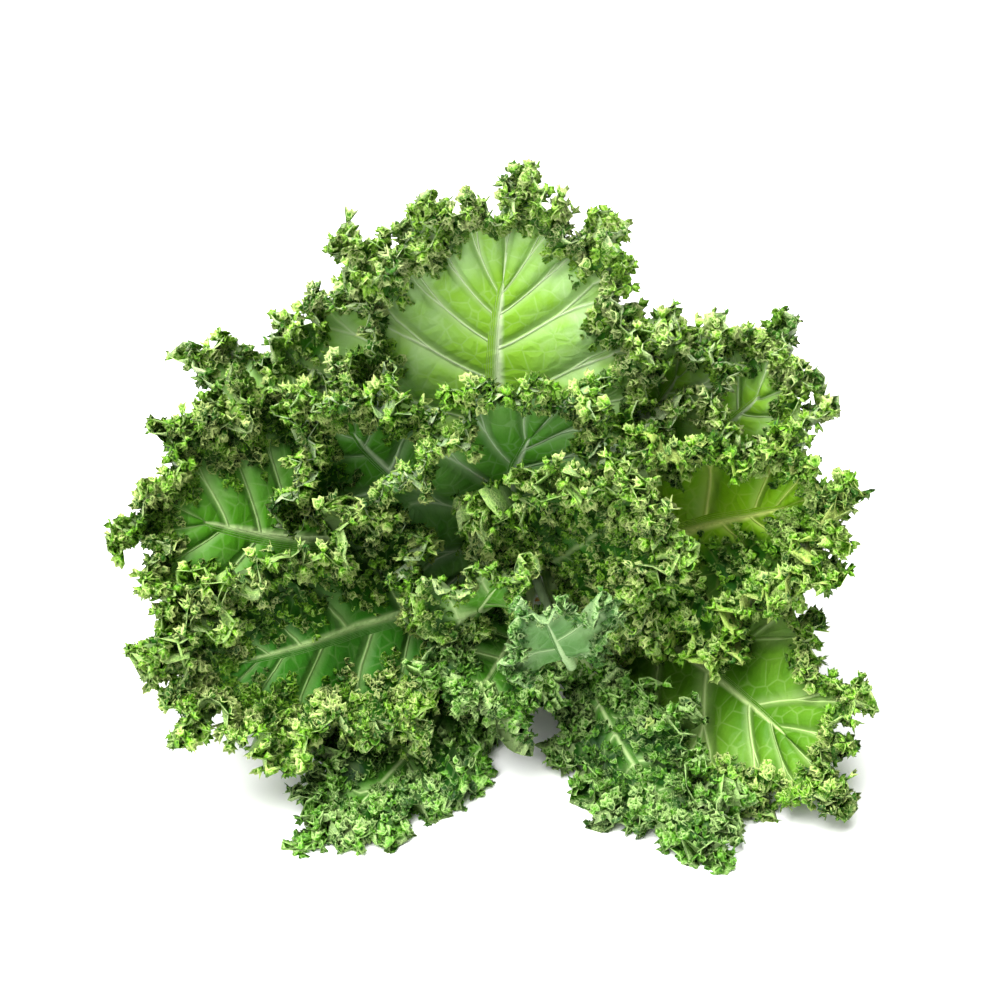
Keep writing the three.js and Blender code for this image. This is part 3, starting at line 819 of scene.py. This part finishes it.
# %% The tube of a stalk
HOLLOW, HOLLOW_WIDTH = 0.16, 0.5


def tube_faces():
    """The triangles of the wall and both ends. The middles of the ends come after the rings."""
    k = np.arange(TUBE_SIDES)
    after = (k + 1) % TUBE_SIDES
    faces = []
    for r in range(TUBE_RINGS - 1):
        a, b = r * TUBE_SIDES + k, r * TUBE_SIDES + after
        faces.append(np.stack([a, a + TUBE_SIDES, b + TUBE_SIDES], 1))
        faces.append(np.stack([a, b + TUBE_SIDES, b], 1))
    low = TUBE_RINGS * TUBE_SIDES
    last = low - TUBE_SIDES
    faces.append(np.stack([np.full_like(k, low), k, after], 1))
    faces.append(np.stack([np.full_like(k, low + 1), last + after, last + k], 1))
    return np.concatenate(faces)


def stalk_tube(leaf):
    p, radius, side, up = stalk_rings(leaf)
    angle = np.linspace(0, 2 * math.pi, TUBE_SIDES, endpoint=False)
    hollow = 1 - HOLLOW * np.exp(-(((angle - math.pi / 2) / HOLLOW_WIDTH) ** 2))
    around = side[:, None] * np.cos(angle)[None, :, None]
    around = around + up[:, None] * (np.sin(angle) * hollow)[None, :, None]
    rings = p[:, None] + around * radius[:, None, None]
    return np.vstack([rings.reshape(-1, 3), p[:1], p[-1:]]), tube_faces()


print("stalk triangles:", len(stalk_tube(LEAVES[0])[1]))

# %% [markdown]
# ## One leaf as a mesh
# The blade, its curls and its stalk go into one mesh as closed shells. Two UV maps go with it, both
# worked out from u and v: flat_leaf is the leaf laid flat, in metres, for patterns at their real
# size, and vein_lines is the wave count and v, because a side vein runs out to every lobe. Four
# values at each point tell the finish what it lies on: the stalk, the underside, a curl from foot
# to rim, or the blade between curls.

# %% The blade as a sheet
SKIN_HALF, SKIN_INSIDE, SKIN_THINNING = 0.28, 1.3, 0.6
FRILL_FROM, FRILL_OVER = 0.02, 0.1


@dataclass
class Sheet:
    points: np.ndarray
    faces: np.ndarray
    u: np.ndarray
    v: np.ndarray
    half: np.ndarray
    curl: np.ndarray
    frilled: np.ndarray


def blade_sheet(leaf, grid, u, v):
    ids, count = blade_ids(grid.shape[1] - 1)
    kept = ids >= 0
    points, us, vs = np.zeros((count, 3)), np.zeros(count), np.zeros(count)
    points[ids[kept]], us[ids[kept]], vs[ids[kept]] = grid[kept], u[kept], v[kept]
    half = SKIN_HALF * (SKIN_INSIDE - SKIN_THINNING * vs)
    frilled = smooth((vs - bare_share(leaf, us) - FRILL_FROM) / FRILL_OVER)
    return Sheet(points, blade_faces(ids), us, vs, half, np.zeros(count), frilled)


print("the blade is", 2 * SKIN_HALF, "mm thick")

# %% The curls of one face as a sheet
CURL_HALF = 0.2
CURL_FOOT = 0.1
TOP_MEAN, TOP_IN_TUFT, TUFT_MOST = 0.75, 0.35, 0.7


def curl_sheet(leaf, grid, side):
    places = curl_places(leaf, side)
    points = curl_points(leaf, grid, places, side).reshape(-1, 3)
    each = 1 + CURL_SIDES
    k = np.arange(CURL_SIDES)
    pleats = np.stack([np.zeros_like(k), 1 + k, 1 + (k + 1) % CURL_SIDES], 1)
    faces = (pleats + each * np.arange(len(places))[:, None, None]).reshape(-1, 3)
    u, v = np.repeat(places, each, axis=0).T
    # painted light and shade: a curl's rim rises further in the colours inside a tuft, so the tufts are
    # painted lighter at their tops and darker between them, and the foot of each curl is darkest
    top = TOP_MEAN + TOP_IN_TUFT * np.clip(tufts(points[::each]), -1, TUFT_MOST)
    on_rim = np.tile(np.minimum(np.arange(each), 1.0), len(places))
    curl = CURL_FOOT + (1 - CURL_FOOT) * on_rim * np.repeat(top, each)
    return Sheet(points, faces, u, v, np.full(len(u), CURL_HALF), curl, np.ones(len(u)))


print("the curls are", 2 * CURL_HALF, "mm thick")

# %% The closed shells of one leaf
SHEET_FLOOR, SHEET_EASE = 0.5, 1


def leaf_shells(leaf):
    """Points, triangles, and for each point u, v, underside, curl and frilled."""
    grid, u, v = blade_grid(leaf)
    sheets = [blade_sheet(leaf, grid, u, v), *(curl_sheet(leaf, grid, side) for side in CURL_GAP)]
    points, faces, at, count = [], [], [], 0
    for sheet in sheets:
        sheet.points[:, 2] = pressed(sheet.points[:, 2], SHEET_FLOOR, SHEET_EASE)
        skin, skin_faces, source = shell_of(sheet.points, sheet.faces, sheet.half)
        curl = sheet.curl[source]
        underside = (np.arange(len(skin)) < len(sheet.points)) & (curl == 0)
        points.append(skin)
        faces.append(skin_faces + count)
        at.append(np.stack([sheet.u[source], sheet.v[source], underside, curl,
                            sheet.frilled[source]], 1))
        count += len(skin)
    return np.vstack(points), np.vstack(faces), np.vstack(at)


points, faces, at = leaf_shells(LEAVES[0])
print("smallest leaf:", len(points), "points", len(faces), "triangles")

# %% Building a leaf's object
POINT_VALUES = ("stalk", "underside", "curl", "frilled")


def add_uv(mesh, name, values):
    layer = mesh.uv_layers.new(name=name)
    corners = np.zeros(len(mesh.loops), np.int32)
    mesh.loops.foreach_get("vertex_index", corners)
    layer.data.foreach_set("uv", values[corners].astype(np.float32).ravel())


def add_value(mesh, name, values):
    made = mesh.attributes.new(name, "FLOAT", "POINT")
    made.data.foreach_set("value", values.astype(np.float32))


def frilled_leaf(leaf):
    points, faces, at = leaf_shells(leaf)
    tube, tube_triangles = stalk_tube(leaf)
    stalk = np.arange(len(points) + len(tube)) >= len(points)
    faces = np.vstack([faces, tube_triangles + len(points)])
    points = np.vstack([points, tube]) + FOOTING
    points[:, 2] = np.maximum(points[:, 2], 0)
    mesh = bpy.data.meshes.new("frilled_" + leaf.name)
    mesh.from_pydata((points * MM).tolist(), [], faces.tolist())
    mesh.validate()
    u, v, underside, curl, frilled = np.vstack([at, np.zeros((len(tube), at.shape[1]))]).T
    add_uv(mesh, "flat_leaf", np.stack(flat_point(leaf, u, v), 1) * MM)
    add_uv(mesh, "vein_lines", np.stack([wave_phase(leaf, u) / (2 * math.pi), v], 1))
    for name, values in zip(POINT_VALUES, (stalk, underside, curl, frilled)):
        add_value(mesh, name, values)
    mesh.shade_smooth()
    made = bpy.data.objects.new(mesh.name, mesh)
    bpy.context.scene.collection.objects.link(made)
    return made


print("values at each point:", POINT_VALUES)

leaf_objects = {}
for leaf in LEAVES:
    made = frilled_leaf(leaf)
    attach(made, "root")
    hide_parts(leaf.name)
    leaf_objects[leaf.name] = made
    print(leaf.name, "triangles", len(made.data.polygons))
print("leaf triangles in all:", sum(len(o.data.polygons) for o in leaf_objects.values()))

# %% [markdown]
# ## The finish of the leaves
# Kale leaf is water-filled green tissue under a thin skin of wax. The wax gives a soft sheen,
# between matt and satin, and on the smooth faces a pale bluish bloom. The tissue glows yellow-green
# where light comes through. Veins carry no green, so they are nearly white. All of this could be
# painted, but a picture would blur in the frills. Here nodes work it out from the leaf's own UV
# maps and values, so it is sharp and follows each fold. Map Range nodes do much of the work: each
# turns one range of a value into another, 0 to 1 where none is given.

# %% Colours, pattern sizes and the helper that adds a node
def linear(hex_colour):
    parts = [int(hex_colour[i:i + 2], 16) / 255 for i in (0, 2, 4)]
    return [c / 12.92 if c <= 0.04045 else ((c + 0.055) / 1.055) ** 2.4 for c in parts] + [1.0]


def scale_for(mm):
    """The scale of a texture whose cells or spots are this size, on coordinates in metres."""
    return 1000 / mm


def node(tree, kind, *inputs, out="", **named):
    """Adds a node and gives back one output. The inputs in use are filled in order. A name with a
    capital is an input too, and any other name is a setting. Another node's output is linked, and a
    value is set."""
    made = tree.nodes.new("ShaderNode" + kind)
    for name in (n for n in named if n[0].islower()):
        setattr(made, name, named[name])
    filled = list(zip([s for s in made.inputs if s.enabled], inputs))
    filled += [(made.inputs[n.replace("_", " ")], named[n]) for n in named if n[0].isupper()]
    for socket, value in filled:
        if isinstance(value, bpy.types.NodeSocket):
            tree.links.new(value, socket)
        else:
            socket.default_value = value
    return next((s for s in made.outputs if s.enabled and out in ("", s.name)), None)


SOFT = dict(interpolation_type="SMOOTHSTEP")
COLOUR = dict(data_type="RGBA")
print("a kale green in linear light:", [round(c, 3) for c in linear("4c8c1c")])

# %% What each place of the leaf is
BLADE_EDGE_RISE = 0.76


def leaf_place(tree):
    """Where a place is on the flat leaf, in space, round and out, the values that the mesh carries
    there, and how far the place has risen from the foot of a curl to its rim. The colours paint shade
    at the foot and a highlight at the rim by this rise, and the blade's edge gets a rise too."""
    at = SimpleNamespace(flat=node(tree, "UVMap", uv_map="flat_leaf"),
                         spot=node(tree, "TexCoord", out="Object"))
    lines = node(tree, "UVMap", uv_map="vein_lines")
    at.around = node(tree, "SeparateXYZ", lines, out="X")
    at.out = node(tree, "SeparateXYZ", lines, out="Y")
    for name in POINT_VALUES:
        setattr(at, name, node(tree, "Attribute", attribute_name=name, out="Fac"))
    at.blade = node(tree, "MapRange", at.curl, 0.0, 0.08, 1.0, 0.0, **SOFT)
    # the blade's outer edge gets a rise as well, so it takes the painted highlight of a curl's rim
    edge = node(tree, "MapRange", at.out, 0.78, 0.95, 0.0, BLADE_EDGE_RISE, **SOFT)
    edge = node(tree, "Math", edge, at.blade, operation="MULTIPLY")
    at.rise = node(tree, "Math", at.curl, edge, operation="MAXIMUM")
    at.fine = node(tree, "MapRange", at.rise, 0.0, 0.08, **SOFT)
    return at


print("the edge of a blade is as bright as a curl at", BLADE_EDGE_RISE, "of its rise")

# %% [markdown]
# ## Veins
# Two side veins run out to each lobe and fork from two fifths of the way out, and a net of fine
# veins with cells about 8 mm across fills the panels between. The side veins come from the wave
# count by a ping-pong, which is zero on each vein, and the net is a Voronoi texture's distance to
# the edge of its cells.

# %% Veins
VEIN_CELL = 8.3
VEIN_WIDTH_INSIDE, VEIN_WIDTH_OUTSIDE = 0.055, 0.028
VEIN_IN_FRILL = 0.25
FORK_FROM, FORK_SPREAD = 0.4, 0.3
HALO_WIDTH, HALO = 0.24, 0.3
NET_WIDTH, NET = 0.07, 0.13
PILLOW = 2.2


def leaf_veins(tree, at):
    """How high veins and panels stand, the distance from the net, and how pale the veins are."""
    turns = node(tree, "Math", at.around, 2.0, 0.5, operation="MULTIPLY_ADD")
    beside = node(tree, "Math", turns, 0.5, operation="PINGPONG")
    fork = node(tree, "MapRange", at.out, FORK_FROM, 1.0, 0.0, FORK_SPREAD)
    off_vein = node(tree, "Math", beside, fork, operation="SUBTRACT")
    off_vein = node(tree, "Math", off_vein, operation="ABSOLUTE")
    width = node(tree, "MapRange", at.out, 0.0, 1.0, VEIN_WIDTH_INSIDE, VEIN_WIDTH_OUTSIDE)
    side_vein = node(tree, "MapRange", off_vein, 0.0, width, 1.0, 0.0)
    net = node(tree, "TexVoronoi", at.flat, Scale=scale_for(VEIN_CELL), feature="DISTANCE_TO_EDGE")
    net_vein = node(tree, "MapRange", net, 0.0, NET_WIDTH, NET, 0.0, **SOFT)
    strength = node(tree, "MapRange", at.frilled, 0.0, 1.0, 1.0, VEIN_IN_FRILL)
    halo = node(tree, "MapRange", off_vein, 0.0, HALO_WIDTH, HALO, 0.0, **SOFT)
    pale = node(tree, "Math", side_vein, halo, operation="MAXIMUM")
    pale = node(tree, "Math", pale, strength, operation="MULTIPLY")
    pale = node(tree, "Math", pale, net_vein, operation="MAXIMUM")
    midrib = node(tree, "MapRange", at.out, 0.0, 0.05, 0.9, 0.0, **SOFT)
    pale = node(tree, "Math", pale, midrib, operation="MAXIMUM")
    pillow = node(tree, "MapRange", off_vein, 0.0, HALO_WIDTH, 0.0, PILLOW, **SOFT)
    ridge = node(tree, "Math", side_vein, pillow, operation="ADD")
    return ridge, net, node(tree, "Math", pale, at.blade, operation="MULTIPLY")


print("cells of the vein net:", VEIN_CELL, "mm")

# %% [markdown]
# ## Green of the faces and of the curls
# The smooth face is a deep green under wax that lies thicker in patches about 17 mm across. Between
# the curls the blade lies in shade, and is painted nearly black-green as painted shade. A curl goes
# from that dark foot, painted shade, to a pale rim, a painted highlight. Real rims are folded again,
# finer than a mesh can follow, so a warped Voronoi draws these last folds, 2.3 mm across: pale lines
# for rims as a painted highlight, and dark cells as painted shade in the hollows between them.
# The same lines also go into the bump.

# %% Green of the smooth face
WAX_PATCH = 17


def face_green(tree, at, tint):
    """The green of the blade, darkened in the frill zone to the deep green as painted shade between
    the curls, and the mottle that both its bloom and its sheen go with.
    """
    mottle = node(tree, "TexNoise", at.flat, Scale=scale_for(WAX_PATCH), Detail=4.0, Roughness=0.6)
    wax = node(tree, "MapRange", mottle, 0.25, 0.65, **SOFT)
    wax_outside = node(tree, "MapRange", at.out, 0.1, 0.55, **SOFT)
    wax = node(tree, "Math", wax, wax_outside, operation="MULTIPLY")
    face = node(tree, "Mix", wax, linear(tint["face"]), linear(tint["bloom"]), **COLOUR)
    # painted shade: in the frill zone the blade goes to the deep green between the curls
    return node(tree, "Mix", at.frilled, face, linear(tint["deep"]), **COLOUR), mottle


print("patches of wax:", WAX_PATCH, "mm")

# %% Green of the curls, and their finest folds
CURL_PATCH = 11
FINE_FOLD, FOLD_WARP, WARP_REACH = 2.3, 3.8, 4.0
FOLD_HIGHLIGHT_LOW, FOLD_HIGHLIGHT_HIGH = 0.09, 0.68
CURL_RIM_HIGHLIGHT = 0.85


def curl_green(tree, at, tint):
    """The green of the curls, with painted shade at their feet and in the hollows of their finest
    folds, and where their finest rims lie, for a painted highlight and the bump.
    """
    deep, frill = linear(tint["deep"]), linear(tint["frill"])
    patch = node(tree, "TexNoise", at.flat, Scale=scale_for(CURL_PATCH), Detail=2.0)
    fresh = node(tree, "MapRange", patch, 0.35, 0.65, **SOFT)
    green = node(tree, "Mix", fresh, deep, frill, **COLOUR)
    # painted shade: the foot of each curl is darkened to the deep green, lighter towards its rim
    lit = node(tree, "MapRange", at.rise, 0.1, 0.5, **SOFT)
    green = node(tree, "Mix", lit, deep, green, **COLOUR)
    warp = node(tree, "TexNoise", at.spot, Scale=scale_for(FOLD_WARP), Detail=2.0, out="Color")
    reach = (WARP_REACH * MM,) * 3
    warped = node(tree, "VectorMath", warp, reach, at.spot, operation="MULTIPLY_ADD")
    fold_scale = scale_for(FINE_FOLD)
    off_rim = node(tree, "TexVoronoi", warped, Scale=fold_scale, feature="DISTANCE_TO_EDGE")
    # painted shade in the dark cells between the finest folds
    hollow = node(tree, "MapRange", off_rim, 0.12, 0.4, **SOFT)
    green = node(tree, "Mix", hollow, green, deep, **COLOUR)
    # pale lines on the rims of the finest folds, a painted highlight; they also go into the bump
    rim = node(tree, "MapRange", off_rim, 0.02, 0.11, 1.0, 0.0, **SOFT)
    return green, node(tree, "Math", rim, at.fine, operation="MULTIPLY")


def painted_tip_highlight(tree, at, rim):
    """A painted highlight: how far the edge of the blade, the rim of each curl and its finest folds
    are drawn towards the pale tip colour.
    """
    pale = node(tree, "MapRange", at.rise, 0.72, 1.0, 0.0, CURL_RIM_HIGHLIGHT, **SOFT)
    high = node(tree, "MapRange", at.rise, 0.3, 0.8, FOLD_HIGHLIGHT_LOW, FOLD_HIGHLIGHT_HIGH, **SOFT)
    fold_highlight = node(tree, "Math", rim, high, operation="MULTIPLY")
    return node(tree, "Math", pale, fold_highlight, operation="MAXIMUM")


print("finest folds:", FINE_FOLD, "mm")

# %% Pale green of the stalk
STREAK = 1.5
DRAWN_OUT = 8


def stalk_green(tree, at, tint):
    """Fibres run along the stalk, so its streaks are drawn out eight times along the bundle."""
    drawn_out = node(tree, "VectorMath", at.spot, (1.0, 1 / DRAWN_OUT, 1.0), operation="MULTIPLY")
    streaks = node(tree, "TexNoise", drawn_out, Scale=scale_for(STREAK), Detail=3.0)
    greener = node(tree, "MapRange", streaks, 0.35, 0.75, 0.0, 0.45, **SOFT)
    return node(tree, "Mix", greener, linear(tint["vein"]), linear(tint["bloom"]), **COLOUR)


print("streaks of a stalk:", STREAK, "mm wide")

# %% [markdown]
# ## The skin of the leaf
# One shader carries it all. The roughness goes with the wax, the bump raises the side veins, the
# panels of the net and the finest folds, and a quarter of the light goes through the leaf. Water
# and cell walls give an index of refraction near 1.45, and the wax scatters part of the gloss, so
# the specular level is low.

# %% How high the skin stands at each place
SKIN_GRAIN, GRAIN_HEIGHT = 1.7, 0.3
PANEL_HEIGHT, RIM_HEIGHT = 0.5, 0.7
RELIEF_STRENGTH, RELIEF_DEPTH = 0.5, 1.5


def skin_relief(tree, at, ridge, net, rim):
    grain = node(tree, "TexNoise", at.flat, Scale=scale_for(SKIN_GRAIN), Detail=3.0)
    relief = node(tree, "Math", ridge, at.blade, operation="MULTIPLY")
    relief = node(tree, "Math", grain, GRAIN_HEIGHT, relief, operation="MULTIPLY_ADD")
    panel = node(tree, "MapRange", net, 0.0, 0.35, 0.0, PANEL_HEIGHT, **SOFT)
    relief = node(tree, "Math", panel, at.blade, relief, operation="MULTIPLY_ADD")
    relief = node(tree, "Math", rim, RIM_HEIGHT, relief, operation="MULTIPLY_ADD")
    return node(tree, "Bump", RELIEF_STRENGTH, RELIEF_DEPTH * MM, Height=relief)


print("skin grain:", SKIN_GRAIN, "mm")

# %% All the greens of a leaf laid over each other
UNDER_PALENESS = 0.35


def new_material(name):
    """An empty material, and the tree that its nodes go into."""
    material = bpy.data.materials.new(name)
    material.use_nodes = True
    material.node_tree.nodes.clear()
    return material, material.node_tree


def leaf_green(tree, at, tint, vein_paleness, blade, curls, rim):
    """The blade, then the curls, the painted highlight of the tips, the underside, veins and stalk
    laid over it.
    """
    tip, vein = linear(tint["tip"]), linear(tint["vein"])
    green = node(tree, "Mix", at.fine, blade, curls, **COLOUR)
    # painted highlight on the blade's edge and on the rims of the curls and their finest folds
    green = node(tree, "Mix", painted_tip_highlight(tree, at, rim), green, tip, **COLOUR)
    under = node(tree, "Math", at.underside, UNDER_PALENESS, operation="MULTIPLY")
    green = node(tree, "Mix", under, green, vein, **COLOUR)
    green = node(tree, "Mix", vein_paleness, green, vein, **COLOUR)
    return node(tree, "Mix", at.stalk, green, stalk_green(tree, at, tint), **COLOUR)


print("underside paler by", UNDER_PALENESS)

# %% The leaf material
THROUGH_GREEN = "9ad428"
LIGHT_THROUGH = 0.24
SHEEN_DRY, SHEEN_WAXED = 0.56, 0.42


def waxy_kale_leaf(name, tint):
    """Living leaf under wax: satin sheen, bluish bloom, pale veins, yellow-green against light."""
    material, tree = new_material("waxy_kale_leaf_" + name)
    at = leaf_place(tree)
    ridge, net, vein_paleness = leaf_veins(tree, at)
    blade, mottle = face_green(tree, at, tint)
    curls, rim = curl_green(tree, at, tint)
    green = leaf_green(tree, at, tint, vein_paleness, blade, curls, rim)
    relief = skin_relief(tree, at, ridge, net, rim)
    sheen = node(tree, "MapRange", mottle, 0.3, 0.7, SHEEN_DRY, SHEEN_WAXED)
    skin = node(tree, "BsdfPrincipled", Base_Color=green, Roughness=sheen, Normal=relief, IOR=1.45,
                Specular_IOR_Level=0.3)
    through = node(tree, "Mix", 0.5, green, linear(THROUGH_GREEN), **COLOUR)
    glow = node(tree, "BsdfTranslucent", through, Normal=relief)
    node(tree, "OutputMaterial", node(tree, "MixShader", LIGHT_THROUGH, skin, glow))
    return material


print("light through a leaf:", f"{LIGHT_THROUGH:.0%}")

# %% One material to a tint
# Each tint is a copy of the same leaf material, lighter or darker to match how each leaf looks where it
# lies in the bunch: 'sunny' is a lit copy with painted light, 'shaded' a darkened copy with painted
# shade, and the other tints are partly the leaf's own green and partly painted light and shade. In
# every tint, tip is the colour of the painted highlight on rims and edges, and deep the colour of the
# painted shade at the feet of the curls, in their hollows and between them.
TINT_PARTS = ("face", "frill", "tip", "vein", "deep", "bloom")
TINTS = {
    "grey": ("4e7c3a", "64a03c", "c4e496", "b0cc94", "285c1a", "6e9458"),
    "low": ("458020", "66ac22", "c4e68c", "c0da92", "164208", "6c9c4c"),
    "mid": ("4c8c1c", "7cc020", "def290", "c8e09c", "1a4a06", "7cac58"),
    "bright": ("35761a", "84c622", "e4f698", "b4d088", "1e5208", "4c8c34"),
    "deep": ("4e9024", "7cc020", "def290", "dcf0c8", "1a4a06", "78ae54"),
    "shaded": ("4a7c12", "7cc020", "def290", "c4dc90", "1a4a06", "669428"),
    "sunny": ("7cae14", "80c41c", "d8f48c", "dce880", "1e5208", "6fa818"),
    "pale": ("8cbe34", "94cc34", "e8f8a4", "dcebc0", "2e6610", "a8cc84"),
}
leaf_skins = {name: waxy_kale_leaf(name, dict(zip(TINT_PARTS, hexes)))
              for name, hexes in TINTS.items()}
for leaf in LEAVES:
    leaf_objects[leaf.name].data.materials.append(leaf_skins[leaf.tint])
print("leaf materials:", sorted(leaf_skins))

# %% [markdown]
# ## The band
# Shops tie kale with a broad band of natural rubber, moulded as a tube and cut to width. A torus
# primitive is the nearest start: in edit mode its section is stretched to a flat band 8 mm wide,
# and then it is laid round the stalks, square to them.

# %% A rubber band from a torus
BAND_THICK, BAND_WIDE, BAND_CLEAR = 1.6, 8.0, 0.3
BAND_PLACE = 0.5
BAND_SEGMENTS = dict(major_segments=128, minor_segments=16)
band_radius = 2 * LANE_GAP + STALK_RADIUS + BAND_CLEAR + BAND_THICK / 2
bpy.ops.mesh.primitive_torus_add(major_radius=band_radius * MM, minor_radius=BAND_THICK / 2 * MM,
                                 **BAND_SEGMENTS)
band = bpy.context.object
band.name = "rubber_band"
bpy.ops.object.mode_set(mode="EDIT")
bpy.ops.mesh.select_all(action="SELECT")
bpy.ops.transform.resize(value=(1, 1, BAND_WIDE / BAND_THICK))
bpy.ops.object.mode_set(mode="OBJECT")
stalk_slope = math.atan2(CUT[2] - BAND[2], CUT[1] - BAND[1])
band.rotation_euler = (math.pi / 2 + stalk_slope, 0, 0)
band.location = (BAND + (CUT - BAND) * BAND_PLACE + FOOTING) * MM
bpy.ops.object.transform_apply(location=True, rotation=True, scale=True)
bpy.ops.object.shade_smooth()
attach(band, "root")
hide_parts("tie_band")
print("band radius:", round(band_radius, 1), "mm")

# %% Natural rubber
DUST_SPOT = 1.1
DUST_DEPTH = 0.3


def natural_rubber():
    """Moulded natural rubber with talc on it: matt tan, with pale dust in small spots."""
    material, tree = new_material("natural_rubber_dusted")
    spot = node(tree, "TexCoord", out="Object")
    dust = node(tree, "TexNoise", spot, Scale=scale_for(DUST_SPOT), Detail=3.0)
    tan = node(tree, "Mix", dust, linear("b07a3c"), linear("c99a5c"), **COLOUR)
    matt = node(tree, "MapRange", dust, 0.3, 0.7, 0.55, 0.72)
    relief = node(tree, "Bump", 0.3, DUST_DEPTH * MM, Height=dust)
    rubber = node(tree, "BsdfPrincipled", Base_Color=tan, Roughness=matt, Normal=relief, IOR=1.52)
    node(tree, "OutputMaterial", rubber)
    return material


band.data.materials.append(natural_rubber())
bpy.ops.object.select_all(action="DESELECT")
print("band finish:", band.data.materials[0].name)

# %% [markdown]
# ## Floor, light and camera
# A plain pale floor, a broad high light that keeps the floor even from every side, and a weak one
# in front. The camera looks down at the bunch from its front.

# %% Floor
FLOOR_SIZE = 12
bpy.ops.mesh.primitive_plane_add(size=FLOOR_SIZE)
floor = bpy.context.object
floor.name = "floor"
card, tree = new_material("matt_white_card")
white = node(tree, "BsdfPrincipled", Base_Color=linear("fafafa"), Roughness=0.9)
node(tree, "OutputMaterial", white)
floor.data.materials.append(card)
print("floor:", round(floor.dimensions.x), "m across")

# %% Lights
LIT_POINT = Vector((0, 0, 0.1))
WORLD_LIGHT = 0.15


def soft_light(name, kind, place, **settings):
    light = bpy.data.lights.new(name, kind)
    for key, value in settings.items():
        setattr(light, key, value)
    made = bpy.data.objects.new(name, light)
    bpy.context.scene.collection.objects.link(made)
    made.location = place
    made.rotation_euler = (LIT_POINT - made.location).to_track_quat("-Z", "Y").to_euler()


soft_light("overhead", "SUN", (-0.3, -0.45, 1.3), energy=8.4, angle=0.9)
soft_light("front", "AREA", (-0.5, -1.2, 0.8), energy=14, shape="DISK", size=0.8)
world = bpy.data.worlds.new("studio")
bpy.context.scene.world = world
world.use_nodes = True
world.node_tree.nodes["Background"].inputs["Color"].default_value = (1, 1, 1, 1)
world.node_tree.nodes["Background"].inputs["Strength"].default_value = WORLD_LIGHT
bpy.context.scene.view_settings.view_transform = "Standard"

# %% Camera
AIM = np.array([7.0, -9.0, 116.0]) * MM
DISTANCE, FIELD = 1.3, math.radians(20.5)
DOWN = math.radians(26)
SENSOR = 36
lens = bpy.data.cameras.new("camera")
lens.sensor_width = SENSOR
lens.lens = SENSOR / 2 / math.tan(FIELD / 2)
lens.clip_end = 100
camera = bpy.data.objects.new("camera", lens)
bpy.context.scene.collection.objects.link(camera)
camera.location = AIM + DISTANCE * np.array([0, -math.cos(DOWN), math.sin(DOWN)])
camera.rotation_euler = (math.pi / 2 - DOWN, 0, 0)
bpy.context.scene.camera = camera
print("camera lens:", round(lens.lens, 1), "mm")
